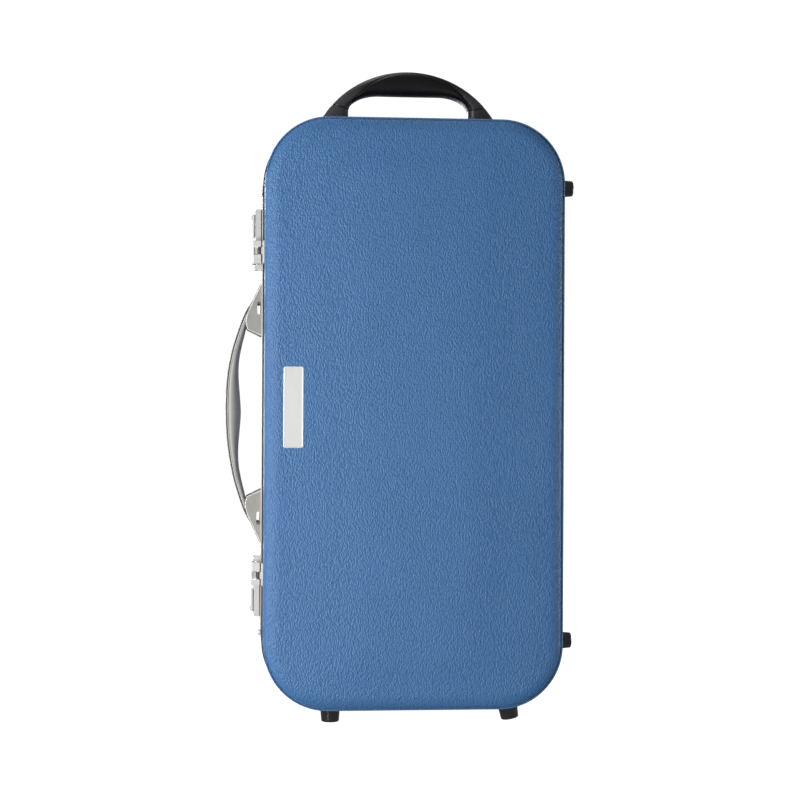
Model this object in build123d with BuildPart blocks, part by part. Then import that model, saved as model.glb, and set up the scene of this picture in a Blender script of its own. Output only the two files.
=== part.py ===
from build123d import *

import os
from math import asin, cos, degrees, radians, sin, sqrt

# Hard case for a dismantled bassoon, in millimetres. It stands on its bottom end, +Z up along the case,
# with the lid towards -Y, the latches and side handle on the left wall (-X) and the hinges on the right.
# The origin is on the floor, under the middle of the bounding box.

os.makedirs("parts", exist_ok=True)

# Shell
SHELL_WIDTH = 328.0
SHELL_LENGTH = 646.0
CORNER_RADIUS = 70.0
LID_DEPTH = 66.0  # from the parting plane to the crown of the lid's padded panel
BACK_DEPTH = 92.0  # from the parting plane to the crown of the rear panel
LEATHER = 1.2
WALL = 4.5
FRONT_CROWN = 8.0
REAR_CROWN = 4.0
CROWN_RUN = 17.0  # how far in from the seam the padded panels turn flat
SEAM_INSET = 1.6
BAND_ROUND = 0.8

# Rims and seal at the parting plane
RIM_DEPTH = 6.0
PARTING_GAP = 0.6
TONGUE_INSET = 3.4
TONGUE_THICKNESS = 1.2
TONGUE_HEIGHT = 4.1
TONGUE_END_X = 60.0  # the tongue stops here, short of the hinge side, so that the lid can swing
GROOVE_CLEARANCE = 0.4
GROOVE_END_CLEARANCE = 0.7
SEAL_PROUD = 1.3
SEAL_FRONT = 1.2
SEAL_BACK = 1.8
SEAL_CLEARANCE = 0.25

# Foam and padding
FOAM_CLEARANCE = 0.2
FOAM_RECESS = 0.8
BAY_WALL = 8.0
BAY_EDGE = 8.0
BAY_ROUND = 12.0
LONG_JOINT_BAY = (50.0, 48.0)  # width and depth
WING_BAY = (58.0, 505.0, 50.0)  # width, length and depth
BOOT_BAY = (80.0, 445.0, 62.0)
BELL_BAY = (86.0, 345.0, 62.0)
SMALL_BAY_DEPTH = 45.0
NOTCH_RADIUS = 20.0
NOTCH_DEPTH = 26.0
LID_PAD_THICKNESS = 21.0
PAD_ROUND = 6.0

# Label plate
LABEL_WIDTH = 21.7
LABEL_LENGTH = 88.0
LABEL_PROUD = 1.0
LABEL_ROUND = 1.5
LABEL_EDGE = 19.95  # in from the shell's left wall
LABEL_Z = 6.9  # above the middle

# Feet
FOOT_HEIGHT = 15.5
FOOT_BASE_RADIUS = 11.0
FOOT_TIP_RADIUS = 9.7
FOOT_ROUND = 2.0
FOOT_SINK = 2.5  # moulded past the wall, then shaped to it
FOOT_BORE_RADIUS = 3.5
FOOT_WEB = 3.0
BOTTOM_FOOT_X = -90.0
BOTTOM_FOOT_TILT = 10.6
SIDE_FOOT_SIZE = 0.87  # of a bottom foot's
SIDE_FOOT_DROP = 2.0  # from where the corner starts
LID_FOOT_Y = -30.0
BACK_FOOT_Y = 46.0
FOOT_SCREW_RADIUS = 1.5
FOOT_SCREW_HEAD_RADIUS = 3.2
FOOT_SCREW_HEAD_HEIGHT = 2.2
SCREW_CLEARANCE = 0.1

# Hinges
HINGE_Z = {"upper": 190.0, "middle": 0.0, "lower": -190.0}
HINGE_LENGTH = 60.0
HINGE_KNUCKLES = 5
HINGE_LEAF = 22.0
HINGE_GAUGE = 1.5
KNUCKLE_RADIUS = 3.2
KNUCKLE_STANDOFF = 0.4
KNUCKLE_GAP = 0.3
LEAF_CLEARANCE = 0.5
HINGE_PIN_RADIUS = 1.5
PIN_CLEARANCE = 0.05
RIVET_RADIUS = 2.2
RIVET_HEIGHT = 0.9
HINGE_RIVET_PITCH = 22.0

# Strip on the left wall
BACKING = 0.5
STRIP_THICKNESS = 1.8
STRIP_WIDTH = 30.0
STRIP_LENGTH = 481.0
STRIP_Y = 2.2
STRIP_ROUND = 0.8
END_CAP_LENGTH = 15.0
END_CAP_WIDTH = 22.0
END_CAP_PROUD = 4.0
STUD_DROP = 5.0
STUD_RADIUS = 3.8
STUD_NECK_RADIUS = 2.2
STUD_PROUD = 5.1

# Latches, with heights from the middle of the case to the upper latch
LATCH_INNER_Z = 159.7
LATCH_LENGTH = 67.0
LATCH_WIDTH = 22.0
LATCH_Y = 15.0
LATCH_BASE = 1.2
TONGUE_END_LENGTH = 5.3
TONGUE_END_PROUD = 10.7
HOUSING_PROUD = 9.6
HOUSING_CHAMFER = 1.3
CATCH_PROUD = 6.5
HASP_PROUD = 12.7
HASP_LENGTH = 25.1
HASP_GAUGE = 1.2
HASP_FRONT = 9.2  # in front of the parting plane
HASP_BACK = 21.0  # behind it
HASP_END_CLEARANCE = 0.6
HASP_CLEARANCE = 0.3
HASP_ARM_PROUD = 8.8
WINDOW_LENGTH = 8.9
WINDOW_OFFSET = 9.8  # from the hasp's inner end
CLAW_WIDTH = 12.0
PIVOT_PROUD = 5.4
PIVOT_FRONT = 6.0
PIVOT_KNUCKLE_RADIUS = 1.8
HASP_PIN_RADIUS = 1.0
HASP_PIN_CLEARANCE = 0.05
HASP_PLATE = 1.2
HASP_PLATE_DEPTH = 21.0
HASP_RIVET_Y = -17.0
SMALL_RIVET_RADIUS = 1.6
SMALL_RIVET_HEIGHT = 0.7
SLIDER_WIDTH = 14.0
SLIDER_GAUGE = 2.1
SLIDER_GAP = 1.1
SLIDER_START = 5.0  # from the housing's inner end
SLIDER_LENGTH = 25.2
SLIDER_TRAVEL = 5.0
LIP_PROUD = 1.4
LIP_LENGTH = 6.2
NECK_WIDTH = 4.4
NECK_LENGTH = 8.3
CAVITY_WIDTH = 6.8
CAVITY_WALL = 1.2
SLIDE_CLEARANCE = 0.3
BOLT_WIDTH = 4.0
BOLT_THICKNESS = 1.5
BOLT_REACH = 13.0
SPRING_RADIUS = 1.45
SPRING_WIRE = 0.3
SPRING_TURNS = 7
HASP_SPRING_WIRE = 0.2
HASP_SPRING_TURNS = 8

# Side handle, with heights from the middle of the case to the upper end
HANDLE_REACH = 41.8
BOW_RADIUS = 292.4
STRAP_THICKNESS = 2.4
STRAP_WIDTH = 20.0
GRIP_WIDTH = 28.0
GRIP_THICKNESS = 17.6
GRIP_WAIST = 12.7
GRIP_WAIST_Z = 36.0
KNUCKLE_Z = 49.0
BOW_END_THICKNESS = 11.5
GRIP_ROUND = 3.5
SEAM_GAP = 0.2
SOCKET_CLEARANCE = 0.35
EAR_CLEARANCE = 0.3
LINK_WIDTH = 19.6
LINK_NECK_Z = 95.0
LINK_NECK = 7.0
LINK_STRAP_Z = 112.0
LINK_STRAP = 4.2
LINK_TAIL = (10.5, 127.0)
LINK_TAIL_ROOT = (8.2, 124.4)
LINK_LEG_RADIUS = 2.4
KNUCKLE_PIN_RADIUS = 1.5
HANDLE_PIN_RADIUS = 1.35
HANDLE_Y = 17.2
BRACKET_TIP_Z = 143.8
BRACKET_TIP_PROUD = 3.9
BRACKET_EDGE = ((18.4, 92.6), (20.6, 101.9), (18.3, 111.7), (14.0, 121.7))
BRACKET_FOOT_Z = 84.5
BRACKET_ROUND = 2.0
BRACKET_TIP_ROUND = 1.2
BRACKET_BEVEL = 0.5
CHEEK = 1.6
CHEEK_GAP = 20.8
BRACKET_BASE = 1.0
BASE_SPLIT = (105.0, 129.0)
ROOF = 1.2
SLOT_WIDTH = 3.7
SLOT_LENGTH = 14.2
SLOT_TOP_Z = 124.2
BRACKET_RIVET_RADIUS = 2.4

# Top handle, with heights above the shell
TOP_HANDLE_X = -2.4  # from the middle
TOP_HANDLE_HEIGHT = 59.3
TOP_HANDLE_ARC = 116.0
TOP_HANDLE_DEPTH = 28.0
TOP_HANDLE_EDGE = 1.5
OPENING_HALF_WIDTH = 67.6
OPENING_HEIGHT = 35.0
OPENING_ROUND = 42.0
OPENING_SHOULDER = 6.0  # the legs cut the opening's round corners off this far in
OPENING_EDGE = 3.5
PAD_ARC = 81.3
PAD_TOP = 57.3
PAD_END_HEIGHT = 17.0
MOUNT_PLATE = 2.0
MOUNT_PLATE_X = (58.0, 109.0)
MOUNT_PLATE_DEPTH = 30.0
MOUNT_SCREW_X = (63.0, 105.5)
MOUNT_SCREW_RADIUS = 2.6
MOUNT_SCREW_HEIGHT = 1.4


def foot_reach(tilt):
    """How far a foot on a rounded corner reaches past the wall, along the untilted direction."""
    turn = radians(tilt)
    edge_circle = CORNER_RADIUS + FOOT_HEIGHT - FOOT_ROUND
    flat_radius = FOOT_TIP_RADIUS - FOOT_ROUND
    return edge_circle * cos(turn) + flat_radius * sin(turn) + FOOT_ROUND - CORNER_RADIUS


# Middle of the case and its walls, in the part's frame
X_MID = (HANDLE_REACH - SIDE_FOOT_SIZE * FOOT_HEIGHT) / 2
X_LEFT = X_MID - SHELL_WIDTH / 2
X_RIGHT = X_MID + SHELL_WIDTH / 2
Y_PART = (LID_DEPTH + LABEL_PROUD - BACK_DEPTH) / 2
Z_MID = max(FOOT_HEIGHT, foot_reach(BOTTOM_FOOT_TILT)) + SHELL_LENGTH / 2
Z_BOTTOM = Z_MID - SHELL_LENGTH / 2
Z_TOP = Z_MID + SHELL_LENGTH / 2
MIDDLE = Plane.XY.offset(Z_MID)

LID_WALL = LID_DEPTH - FRONT_CROWN
BACK_WALL = BACK_DEPTH - REAR_CROWN
INNER_INSET = LEATHER + WALL
FOAM_INSET = INNER_INSET + FOAM_CLEARANCE
CORNER_X = SHELL_WIDTH / 2 - CORNER_RADIUS
CORNER_Z = SHELL_LENGTH / 2 - CORNER_RADIUS


def facing(y):
    """Plane that faces the viewer, y behind the parting plane, with its middle at the case's middle."""
    return Plane(origin=(X_MID, Y_PART + y, Z_MID), x_dir=(1, 0, 0), z_dir=(0, -1, 0))


def side_profile(y):
    """Plane for shapes on the left wall seen from the front: outward from the wall, and up."""
    return Plane(origin=(X_LEFT, Y_PART + y, Z_MID), x_dir=(-1, 0, 0), z_dir=(0, 1, 0))


def end_profile(z):
    """Plane for shapes on the left wall seen from above: outward from the wall, and forward."""
    return Plane(origin=(X_LEFT, Y_PART, Z_MID + z), x_dir=(-1, 0, 0), z_dir=(0, 0, 1))


def slab(back, front, inset, mode=Mode.ADD):
    """Slab of the case's outline drawn in by an inset, between two depths behind the parting plane."""
    with BuildSketch(facing(back)) as profile:
        RectangleRounded(
            SHELL_WIDTH - 2 * inset, SHELL_LENGTH - 2 * inset, CORNER_RADIUS - inset
        )
    extrude(profile.sketch, amount=back - front, mode=mode)


def ring(back, front, outer, inner, mode=Mode.ADD, end_x=None):
    """Ring between two insets of the outline, cut off past end_x when one is given."""
    with BuildSketch(facing(back)) as profile:
        for inset, kind in ((outer, Mode.ADD), (inner, Mode.SUBTRACT)):
            RectangleRounded(
                SHELL_WIDTH - 2 * inset,
                SHELL_LENGTH - 2 * inset,
                CORNER_RADIUS - inset,
                mode=kind,
            )
        if end_x is not None:
            with Locations((end_x + SHELL_WIDTH / 2, 0)):
                Rectangle(SHELL_WIDTH, SHELL_LENGTH, mode=Mode.SUBTRACT)
    extrude(profile.sketch, amount=back - front, mode=mode)


def padded_panel(wall_y, crown, towards):
    """Pillow with a quarter-ellipse edge, from the wall out; towards is -1 to the front, 1 to the back."""
    sections = []
    for angle in (0, 20, 40, 60, 76, 90):
        rise = crown * sin(radians(angle))
        inset = SEAM_INSET + CROWN_RUN * (1 - cos(radians(angle)))
        with BuildSketch(facing(wall_y + towards * rise)) as section:
            RectangleRounded(
                SHELL_WIDTH - 2 * inset, SHELL_LENGTH - 2 * inset, CORNER_RADIUS - inset
            )
        sections.append(section.sketch)
    loft(sections)


def wall_block(proud, y, z, mode=Mode.ADD):
    """Block on the left wall: its reach past the wall, behind the parting plane and above the middle."""
    centre = (
        X_LEFT - sum(proud) / 2,
        Y_PART + sum(y) / 2,
        Z_MID + sum(z) / 2,
    )
    with Locations(centre):
        Box(proud[1] - proud[0], y[1] - y[0], z[1] - z[0], mode=mode)


def hinge_block(proud, y, z, mode=Mode.ADD):
    """Block on the right wall, given as wall_block's are."""
    centre = (
        X_RIGHT + sum(proud) / 2,
        Y_PART + sum(y) / 2,
        Z_MID + sum(z) / 2,
    )
    with Locations(centre):
        Box(proud[1] - proud[0], y[1] - y[0], z[1] - z[0], mode=mode)


def around(middle, width):
    """The low and high end of a width about its middle."""
    return (middle - width / 2, middle + width / 2)


def rod(plane, radius, length, mode=Mode.ADD):
    """Rod or hole that starts on a plane's origin and runs along its normal."""
    with BuildSketch(plane) as profile:
        Circle(radius)
    extrude(profile.sketch, amount=length, mode=mode)


def rivet(plane, radius, height):
    """Domed rivet head that stands on a plane's origin."""
    with BuildSketch(plane) as profile:
        Circle(radius)
    extrude(profile.sketch, amount=height, taper=30)


def both_ends(part, pattern):
    """Write the upper piece, and its mirror image about the middle of the case as the lower one."""
    for end, piece in (("upper", part), ("lower", mirror(part, about=MIDDLE))):
        piece.label = pattern.format(end)
        export_step(piece, f"parts/{piece.label}.step")


# Shells, coverings and padded panels

with BuildPart() as back_shell:
    slab(BACK_WALL, RIM_DEPTH, LEATHER)
    slab(BACK_WALL - WALL, RIM_DEPTH, INNER_INSET, Mode.SUBTRACT)
back_shell.part.label = "back_shell"
export_step(back_shell.part, "parts/back_shell.step")

with BuildPart() as back_side_band:
    ring(BACK_WALL, RIM_DEPTH, 0, LEATHER)
    fillet(back_side_band.faces().sort_by(Axis.Y)[-1].outer_wire().edges(), BAND_ROUND)
back_side_band.part.label = "back_side_band"
export_step(back_side_band.part, "parts/back_side_band.step")

with BuildPart() as back_rear_panel:
    padded_panel(BACK_WALL, REAR_CROWN, 1)
back_rear_panel.part.label = "back_rear_panel"
export_step(back_rear_panel.part, "parts/back_rear_panel.step")

with BuildPart() as lid_shell:
    slab(-RIM_DEPTH, -LID_WALL, LEATHER)
    slab(-RIM_DEPTH, WALL - LID_WALL, INNER_INSET, Mode.SUBTRACT)
lid_shell.part.label = "lid_shell"
export_step(lid_shell.part, "parts/lid_shell.step")

with BuildPart() as lid_side_band:
    ring(-RIM_DEPTH, -LID_WALL, 0, LEATHER)
    fillet(lid_side_band.faces().sort_by(Axis.Y)[0].outer_wire().edges(), BAND_ROUND)
lid_side_band.part.label = "lid_side_band"
export_step(lid_side_band.part, "parts/lid_side_band.step")

with BuildPart() as lid_front_panel:
    padded_panel(-LID_WALL, FRONT_CROWN, -1)
lid_front_panel.part.label = "lid_front_panel"
export_step(lid_front_panel.part, "parts/lid_front_panel.step")

with BuildPart() as label_plate:
    with BuildSketch(facing(-LID_DEPTH)):
        label_x = LABEL_EDGE + (LABEL_WIDTH - SHELL_WIDTH) / 2
        with Locations((label_x, LABEL_Z)):
            RectangleRounded(LABEL_WIDTH, LABEL_LENGTH, LABEL_ROUND)
    extrude(amount=LABEL_PROUD)
label_plate.part.label = "label_plate"
export_step(label_plate.part, "parts/label_plate.step")

# Rims and seal

HALF_GAP = PARTING_GAP / 2

with BuildPart() as back_rim:
    ring(RIM_DEPTH, HALF_GAP, 0, INNER_INSET)
    ring(
        HALF_GAP,
        HALF_GAP - TONGUE_HEIGHT,
        TONGUE_INSET,
        TONGUE_INSET + TONGUE_THICKNESS,
        end_x=TONGUE_END_X,
    )
back_rim.part.label = "back_rim"
export_step(back_rim.part, "parts/back_rim.step")

with BuildPart() as lid_rim:
    ring(-HALF_GAP, -RIM_DEPTH, 0, INNER_INSET)
    ring(
        -HALF_GAP,
        HALF_GAP - TONGUE_HEIGHT - GROOVE_END_CLEARANCE,
        TONGUE_INSET - GROOVE_CLEARANCE,
        TONGUE_INSET + TONGUE_THICKNESS + GROOVE_CLEARANCE,
        Mode.SUBTRACT,
        end_x=TONGUE_END_X + GROOVE_END_CLEARANCE,
    )
lid_rim.part.label = "lid_rim"
export_step(lid_rim.part, "parts/lid_rim.step")

with BuildPart() as parting_seal:
    ring(SEAL_BACK, HALF_GAP, -SEAL_PROUD, 0)
    ring(HALF_GAP, -SEAL_FRONT, -SEAL_PROUD, -SEAL_CLEARANCE)
    for height in HINGE_Z.values():
        hinge_block(
            (-HINGE_GAUGE, 2 * KNUCKLE_RADIUS),
            (-2 * SEAL_FRONT, 2 * SEAL_BACK),
            around(height, HINGE_LENGTH + 2 * LEAF_CLEARANCE),
            Mode.SUBTRACT,
        )
parting_seal.part.label = "parting_seal"
export_step(parting_seal.part, "parts/parting_seal.step")

# Foam insert with its bays, and the lid's padding

FOAM_FRONT = FOAM_RECESS
FOAM_BACK = BACK_WALL - WALL - FOAM_CLEARANCE
BAY_TOP = SHELL_LENGTH / 2 - FOAM_INSET - BAY_EDGE
WING_X = WING_BAY[0] / 2 + BAY_EDGE + FOAM_INSET - SHELL_WIDTH / 2
LONG_X = WING_X + WING_BAY[0] / 2 + BAY_WALL + LONG_JOINT_BAY[0] / 2
BOOT_X = LONG_X + LONG_JOINT_BAY[0] / 2 + BAY_WALL + BOOT_BAY[0] / 2
BELL_X = BOOT_X + BOOT_BAY[0] / 2 + BAY_WALL + BELL_BAY[0] / 2


def bay(x, width, low, high, depth):
    """Bay cut into the foam from its face, with its low and high end above the middle."""
    with BuildSketch(facing(FOAM_FRONT + depth)) as profile:
        with Locations((x, (low + high) / 2)):
            RectangleRounded(width, high - low, BAY_ROUND)
    extrude(profile.sketch, amount=depth, mode=Mode.SUBTRACT)


def corner_limit(x):
    """How far from the middle a bay may reach, with an edge at x, clear of the foam's rounded corner."""
    radius = CORNER_RADIUS - FOAM_INSET - BAY_EDGE - BAY_ROUND
    run = abs(x) - BAY_ROUND - CORNER_X
    return CORNER_Z + BAY_ROUND + sqrt(max(radius**2 - run**2, 0))


with BuildPart() as foam_insert:
    slab(FOAM_BACK, FOAM_FRONT, FOAM_INSET)
    wing_low = -corner_limit(WING_X - WING_BAY[0] / 2)
    bell_low = -corner_limit(BELL_X + BELL_BAY[0] / 2)
    bay(WING_X, WING_BAY[0], wing_low, wing_low + WING_BAY[1], WING_BAY[2])
    bay(LONG_X, LONG_JOINT_BAY[0], -BAY_TOP, BAY_TOP, LONG_JOINT_BAY[1])
    bay(BOOT_X, BOOT_BAY[0], -BAY_TOP, BOOT_BAY[1] - BAY_TOP, BOOT_BAY[2])
    bay(BOOT_X, BOOT_BAY[0], BOOT_BAY[1] - BAY_TOP + BAY_WALL, BAY_TOP, SMALL_BAY_DEPTH)
    bay(BELL_X, BELL_BAY[0], bell_low, bell_low + BELL_BAY[1], BELL_BAY[2])
    bay(BELL_X, BELL_BAY[0], bell_low + BELL_BAY[1] + BAY_WALL, -bell_low, SMALL_BAY_DEPTH)
    for notch_x in (
        (WING_X + WING_BAY[0] / 2 + LONG_X - LONG_JOINT_BAY[0] / 2) / 2,
        (LONG_X + LONG_JOINT_BAY[0] / 2 + BOOT_X - BOOT_BAY[0] / 2) / 2,
        (BOOT_X + BOOT_BAY[0] / 2 + BELL_X - BELL_BAY[0] / 2) / 2,
    ):
        with BuildSketch(facing(FOAM_FRONT + NOTCH_DEPTH)) as notch:
            with Locations((notch_x, -BAY_TOP / 3)):
                Circle(NOTCH_RADIUS)
        extrude(notch.sketch, amount=NOTCH_DEPTH, mode=Mode.SUBTRACT)
foam_insert.part.label = "foam_insert"
export_step(foam_insert.part, "parts/foam_insert.step")

with BuildPart() as lid_padding:
    slab(
        WALL + FOAM_CLEARANCE + LID_PAD_THICKNESS - LID_WALL,
        WALL + FOAM_CLEARANCE - LID_WALL,
        FOAM_INSET,
    )
    fillet(lid_padding.faces().sort_by(Axis.Y)[-1].outer_wire().edges(), PAD_ROUND)
lid_padding.part.label = "lid_padding"
export_step(lid_padding.part, "parts/lid_padding.step")

# Hinges on the right wall

HINGE_X = X_RIGHT + KNUCKLE_STANDOFF + KNUCKLE_RADIUS
KNUCKLE_LENGTH = HINGE_LENGTH / HINGE_KNUCKLES


def hinge_leaf(middle, towards, knuckles):
    """Leaf of one hinge: towards is -1 for the lid's leaf and 1 for the back's."""
    plate_edge = KNUCKLE_RADIUS + LEAF_CLEARANCE
    gauge = (0, HINGE_GAUGE)
    hinge_block(
        gauge,
        sorted((towards * plate_edge, towards * HINGE_LEAF)),
        around(middle, HINGE_LENGTH),
    )
    for knuckle in knuckles:
        low = middle - HINGE_LENGTH / 2 + knuckle * KNUCKLE_LENGTH + KNUCKLE_GAP / 2
        span = (low, low + KNUCKLE_LENGTH - KNUCKLE_GAP)
        hinge_block(gauge, sorted((0, towards * plate_edge)), span)
        rod(
            Plane(origin=(HINGE_X, Y_PART, Z_MID + low), z_dir=(0, 0, 1)),
            KNUCKLE_RADIUS,
            KNUCKLE_LENGTH - KNUCKLE_GAP,
        )
    rod(
        Plane(origin=(HINGE_X, Y_PART, Z_MID + middle - HINGE_LENGTH / 2), z_dir=(0, 0, 1)),
        HINGE_PIN_RADIUS + PIN_CLEARANCE,
        HINGE_LENGTH,
        Mode.SUBTRACT,
    )


def hinge_rivets(towards):
    """Rivets of one side's three leaves."""
    y = towards * (HINGE_LEAF + KNUCKLE_RADIUS + LEAF_CLEARANCE) / 2
    for middle in HINGE_Z.values():
        for step in (-1, 0, 1):
            centre = (X_RIGHT + HINGE_GAUGE, Y_PART + y, Z_MID + middle + step * HINGE_RIVET_PITCH)
            rivet(Plane(origin=centre, z_dir=(1, 0, 0)), RIVET_RADIUS, RIVET_HEIGHT)


for place, height in HINGE_Z.items():
    for side, towards, first in (("back", 1, 0), ("lid", -1, 1)):
        with BuildPart() as leaf:
            hinge_leaf(height, towards, range(first, HINGE_KNUCKLES, 2))
        leaf.part.label = f"{side}_hinge_leaf_{place}"
        export_step(leaf.part, f"parts/{side}_hinge_leaf_{place}.step")

with BuildPart() as hinge_pins:
    for height in HINGE_Z.values():
        rod(
            Plane(origin=(HINGE_X, Y_PART, Z_MID + height - HINGE_LENGTH / 2), z_dir=(0, 0, 1)),
            HINGE_PIN_RADIUS,
            HINGE_LENGTH,
        )
hinge_pins.part.label = "hinge_pins"
export_step(hinge_pins.part, "parts/hinge_pins.step")

with BuildPart() as back_hinge_rivets:
    hinge_rivets(1)
back_hinge_rivets.part.label = "back_hinge_rivets"
export_step(back_hinge_rivets.part, "parts/back_hinge_rivets.step")

with BuildPart() as lid_hinge_rivets:
    hinge_rivets(-1)
lid_hinge_rivets.part.label = "lid_hinge_rivets"
export_step(lid_hinge_rivets.part, "parts/lid_hinge_rivets.step")

# Feet on the bottom end and on the hinge side


def foot_planes(y):
    """Planes under the four feet of one shell, each with its size; the second is on the corner."""
    turn = radians(BOTTOM_FOOT_TILT)
    out = (sin(turn), 0, -cos(turn))
    corner_foot = (
        X_MID + CORNER_X + CORNER_RADIUS * out[0],
        Y_PART + y,
        Z_MID - CORNER_Z + CORNER_RADIUS * out[2],
    )
    flat_foot = (X_MID + BOTTOM_FOOT_X, Y_PART + y, Z_BOTTOM)
    planes = [
        (Plane(origin=flat_foot, x_dir=(0, 1, 0), z_dir=(0, 0, -1)), 1.0),
        (Plane(origin=corner_foot, x_dir=(0, 1, 0), z_dir=out), 1.0),
    ]
    for end in (-1, 1):
        side_foot = (X_RIGHT, Y_PART + y, Z_MID + end * (CORNER_Z - SIDE_FOOT_DROP))
        planes.append((Plane(origin=side_foot, x_dir=(0, 1, 0), z_dir=(1, 0, 0)), SIDE_FOOT_SIZE))
    return planes


def feet(y):
    """Four tapered rubber feet, each with a bore for its screw, shaped to the wall behind it."""
    for plane, size in foot_planes(y):
        with BuildSketch(Plane.XY) as half:
            with BuildLine():
                Polyline(
                    (0, -FOOT_SINK),
                    (size * FOOT_BASE_RADIUS, -FOOT_SINK),
                    (size * FOOT_BASE_RADIUS, 0),
                    (size * FOOT_TIP_RADIUS, size * FOOT_HEIGHT),
                    (0, size * FOOT_HEIGHT),
                    close=True,
                )
            make_face()
            fillet(half.vertices().sort_by(Axis.Y)[-2:].sort_by(Axis.X)[-1:], size * FOOT_ROUND)
        upright = Plane(origin=plane.origin, x_dir=plane.x_dir, z_dir=-plane.y_dir)
        revolve(upright.from_local_coords(half.sketch), Axis(plane.origin, plane.z_dir))
        rod(plane.offset(FOOT_WEB), FOOT_BORE_RADIUS, FOOT_HEIGHT, Mode.SUBTRACT)
        rod(
            plane.offset(-FOOT_SINK),
            FOOT_SCREW_RADIUS + SCREW_CLEARANCE,
            FOOT_HEIGHT,
            Mode.SUBTRACT,
        )
    slab(BACK_WALL, -LID_WALL, 0, Mode.SUBTRACT)


def foot_screws(y):
    """Screws of one shell's feet, head on the web of the foot and shank down to the wall."""
    for plane, _ in foot_planes(y):
        rod(plane, FOOT_SCREW_RADIUS, FOOT_WEB)
        rod(plane.offset(FOOT_WEB), FOOT_SCREW_HEAD_RADIUS, FOOT_SCREW_HEAD_HEIGHT)


for side, foot_y in (("lid", LID_FOOT_Y), ("back", BACK_FOOT_Y)):
    with BuildPart() as side_feet:
        feet(foot_y)
    side_feet.part.label = f"{side}_feet"
    export_step(side_feet.part, f"parts/{side}_feet.step")
    with BuildPart() as side_screws:
        foot_screws(foot_y)
    side_screws.part.label = f"{side}_foot_screws"
    export_step(side_screws.part, f"parts/{side}_foot_screws.step")

# Metal strip on the left wall

STRIP_PROUD = BACKING + STRIP_THICKNESS
STRIP_SPAN = (STRIP_Y, STRIP_Y + STRIP_WIDTH)

with BuildPart() as strip_backing:
    wall_block((0, BACKING), STRIP_SPAN, around(0, STRIP_LENGTH))
strip_backing.part.label = "strip_backing"
export_step(strip_backing.part, "parts/strip_backing.step")

with BuildPart() as lock_strip:
    wall_block((BACKING, STRIP_PROUD), STRIP_SPAN, around(0, STRIP_LENGTH))
    fillet(lock_strip.edges().filter_by(Axis.Z).group_by(Axis.X)[0], STRIP_ROUND)
lock_strip.part.label = "lock_strip"
export_step(lock_strip.part, "parts/lock_strip.step")

with BuildPart() as strip_end_cap:
    wall_block(
        (-END_CAP_PROUD, END_CAP_PROUD),
        around(HANDLE_Y, END_CAP_WIDTH),
        (STRIP_LENGTH / 2, STRIP_LENGTH / 2 + END_CAP_LENGTH),
    )
    fillet(strip_end_cap.faces().sort_by(Axis.X)[0].edges(), END_CAP_PROUD / 2)
    slab(BACK_WALL, -LID_WALL, 0, Mode.SUBTRACT)
strip_end_cap.part.label = "strip_end_cap"
export_step(strip_end_cap.part, "parts/strip_end_cap.step")

with BuildPart() as strip_end_stud:
    stud_centre = (X_LEFT, Y_PART + HANDLE_Y, Z_MID - STRIP_LENGTH / 2 - STUD_DROP)
    stud_plane = Plane(origin=stud_centre, z_dir=(-1, 0, 0))
    rod(stud_plane, STUD_RADIUS, STRIP_PROUD / 2)
    rod(stud_plane, STUD_NECK_RADIUS, STUD_PROUD)
    rivet(stud_plane.offset(STRIP_PROUD), STUD_RADIUS, STUD_PROUD - STRIP_PROUD)
strip_end_stud.part.label = "strip_end_stud"
export_step(strip_end_stud.part, "parts/strip_end_stud.step")

# Latches on the strip, and their hasps on the lid

BASE_PROUD = STRIP_PROUD + LATCH_BASE
LATCH_SPAN = around(LATCH_Y, LATCH_WIDTH)
HASP_LOW = LATCH_INNER_Z + TONGUE_END_LENGTH + HASP_END_CLEARANCE
HASP_HIGH = HASP_LOW + HASP_LENGTH
HOUSING_LOW = HASP_HIGH + HASP_CLEARANCE
LATCH_HIGH = LATCH_INNER_Z + LATCH_LENGTH
SLIDER_LOW = HOUSING_LOW + SLIDER_START
SLIDER_HIGH = SLIDER_LOW + SLIDER_LENGTH
NECK_LOW = SLIDER_LOW + 4.0
NECK_HIGH = NECK_LOW + NECK_LENGTH
CAVITY_LOW = NECK_LOW - SLIDE_CLEARANCE
CAVITY_HIGH = LATCH_HIGH - 3.5
CAVITY_FLOOR = BASE_PROUD + 1.0
CAVITY_ROOF = HOUSING_PROUD - CAVITY_WALL
BOLT_FLOOR = CAVITY_FLOOR + 2 * SLIDE_CLEARANCE
BOLT_LOW = NECK_LOW - BOLT_REACH
SPRING_PROUD = (CAVITY_FLOOR + CAVITY_ROOF) / 2

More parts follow.
